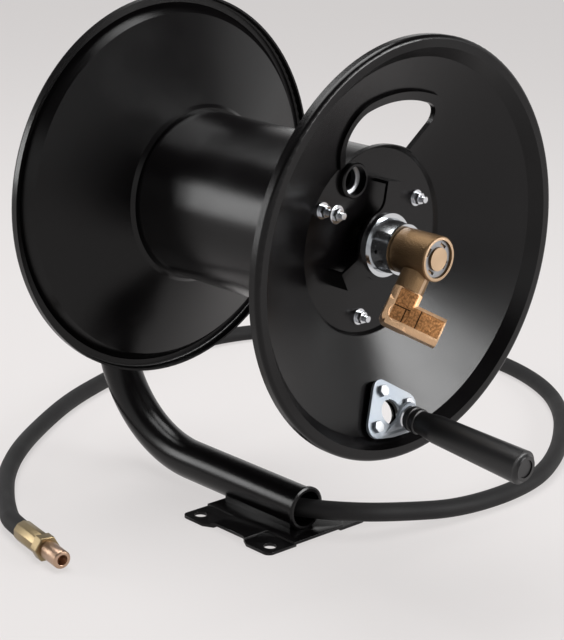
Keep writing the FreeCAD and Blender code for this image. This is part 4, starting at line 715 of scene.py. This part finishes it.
# Merged copies of CAD nodes with softened edges, or with marks that follow the reel's own axes
refining = {
    "merge": 0.000001,
    "flatWithin": math.radians(1),
    "cornerOver": 0.6,
    "steps": 2,
    "sharp": 24,
    "copies": [
        ("rod_nuts", "spool", "zinc", "brightZinc", 0.0004),
        ("rod_flange_nut", "spool", "zinc", "brightZinc", 0.0004),
        ("tie_rods", "spool", "zinc", "rodThread", 0.0),
        ("bracket_bolts", "spool", "zinc", "dullZinc", 0.0004),
        ("crank_bracket", "spool", "zinc", "blueZinc", 0.0003),
        ("spindle_nut", "frame", "zinc", "brightZinc", 0.0006),
        ("bearing_cup", "spool", "zinc", "cupZinc", 0.0),
        ("outlet_ring", "spool", "zinc", "dullZinc", 0.0),
        ("swivel_snap_ring", "swivel", "zinc", "dullZinc", 0.0),
        ("swivel_body", "swivel", "brass", "swivelBrass", 0.0006),
        ("swivel_elbow", "swivel", "brass", "elbowBrass", 0.0005),
        ("swivel_stem", "spool", "brass", "swivelBrass", 0.0003),
        ("base_plate", "frame", "black_paint", "powderBlack", 0.0004),
    ],
}


def refinedCopy(node, body, finish, edge):
    source = cadNodes[node]
    shape = bmesh.new()
    shape.from_mesh(source.data)
    shape.transform(source.matrix_world)
    bmesh.ops.remove_doubles(shape, verts=shape.verts, dist=refining["merge"])
    bmesh.ops.dissolve_limit(
        shape,
        angle_limit=refining["flatWithin"],
        verts=shape.verts,
        edges=shape.edges,
    )
    if edge:
        closed = [side for side in shape.edges if side.is_manifold]
        bmesh.ops.bevel(
            shape,
            geom=[side for side in closed if side.calc_face_angle(0.0) > refining["cornerOver"]],
            offset=edge,
            offset_type="OFFSET",
            affect="EDGES",
            segments=refining["steps"],
            profile=0.5,
            clamp_overlap=True,
            material=-1,
        )
    bmesh.ops.recalc_face_normals(shape, faces=shape.faces)
    first, *others = node.split("_")
    name = first + "".join(word.capitalize() for word in others) + "Refined"
    piece = finishedPiece(name, shape, finish, body, refining["sharp"])
    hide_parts(node)
    return piece


for node, body, slot, finish, edge in refining["copies"]:
    refinedCopy(node, body, finish, edge)
print("pieces refined")

# Set screw, sunk in the side of the bearing cup
setScrew = {
    "place": (-0.0238, -0.1364, 0.3034),
    "line": (-1.0, 0.0, -0.035),
    "radius": 0.0017,
    "depth": 0.0012,
    "sides": 24,
}
screwShape = bmesh.new()
bmesh.ops.create_cone(
    screwShape,
    cap_ends=True,
    segments=setScrew["sides"],
    radius1=setScrew["radius"],
    radius2=setScrew["radius"],
    depth=setScrew["depth"],
)
screwShape.transform(Matrix.Translation(setScrew["place"]) @ facingTurn(setScrew["line"]))
finishedPiece("setScrew", screwShape, "powderBlack", "spool")
print("set screw placed")

# Crimped end of the hose: a sleeve pressed into flats, a hexagon nut and a threaded nipple
hoseEnd = {
    "flats": 10,
    "edge": 0.0007,
    "steps": 2,
    "sharp": 32,
    "nutEdge": 0.0008,
    "nippleEdge": 0.0003,
}
endLine = Vector(hose["endLine"])
ferrule = cadNodes["hose_ferrule"]
rimPlaces = [ferrule.matrix_world @ spot.co for spot in ferrule.data.vertices]
rimLevels = [place.dot(endLine) for place in rimPlaces]
near, far = min(rimLevels), max(rimLevels)
sleeveMiddle = sum(rimPlaces, Vector()) / len(rimPlaces)
sleeveMiddle += endLine * ((near + far) / 2 - sleeveMiddle.dot(endLine))
sleeveRadius = max(place.z for place in rimPlaces) - sleeveMiddle.z
sleeve = bmesh.new()
bmesh.ops.create_cone(
    sleeve,
    cap_ends=True,
    segments=hoseEnd["flats"],
    radius1=sleeveRadius,
    radius2=sleeveRadius,
    depth=far - near,
)
bmesh.ops.bevel(
    sleeve,
    geom=sleeve.edges[:],
    offset=hoseEnd["edge"],
    affect="EDGES",
    segments=hoseEnd["steps"],
    profile=0.5,
    material=-1,
)
sleeve.transform(Matrix.Translation(sleeveMiddle) @ facingTurn(endLine))
crimpSleeve = finishedPiece("crimpSleeve", sleeve, "yellowZinc", "frame", hoseEnd["sharp"])
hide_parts("hose_ferrule")
hoseNut = refinedCopy("hose_nut", "frame", "yellowZinc", hoseEnd["nutEdge"])
hoseNipple = refinedCopy("hose_nipple", "frame", "nippleThread", hoseEnd["nippleEdge"])
print("hose end made")

# The floor glows only where the camera, a reflection or clear material sees it
floorMaterial, floorTree, floorShader = newMaterial("paleFloor")
floorBase = [part * studio["floorBody"] for part in studio["floorTone"]]
floorShader.inputs["Base Color"].default_value = (*floorBase, 1)
floorShader.inputs["Roughness"].default_value = studio["floorRough"]
floorShader.inputs["Specular IOR Level"].default_value = 0.0
floorShader.inputs["Emission Color"].default_value = (*studio["floorTone"], 1)
ray = floorTree.nodes.new("ShaderNodeLightPath").outputs
seen = mathNode(floorTree, "MAXIMUM", ray["Is Camera Ray"], ray["Is Glossy Ray"])
seen = mathNode(floorTree, "MAXIMUM", seen, ray["Is Transmission Ray"])
glow = mathNode(floorTree, "MULTIPLY", seen, studio["floorGlow"])
floorTree.links.new(glow, floorShader.inputs["Emission Strength"])
floorMesh.materials.append(floorMaterial)
print("floor finished")

bpy.context.view_layer.update()
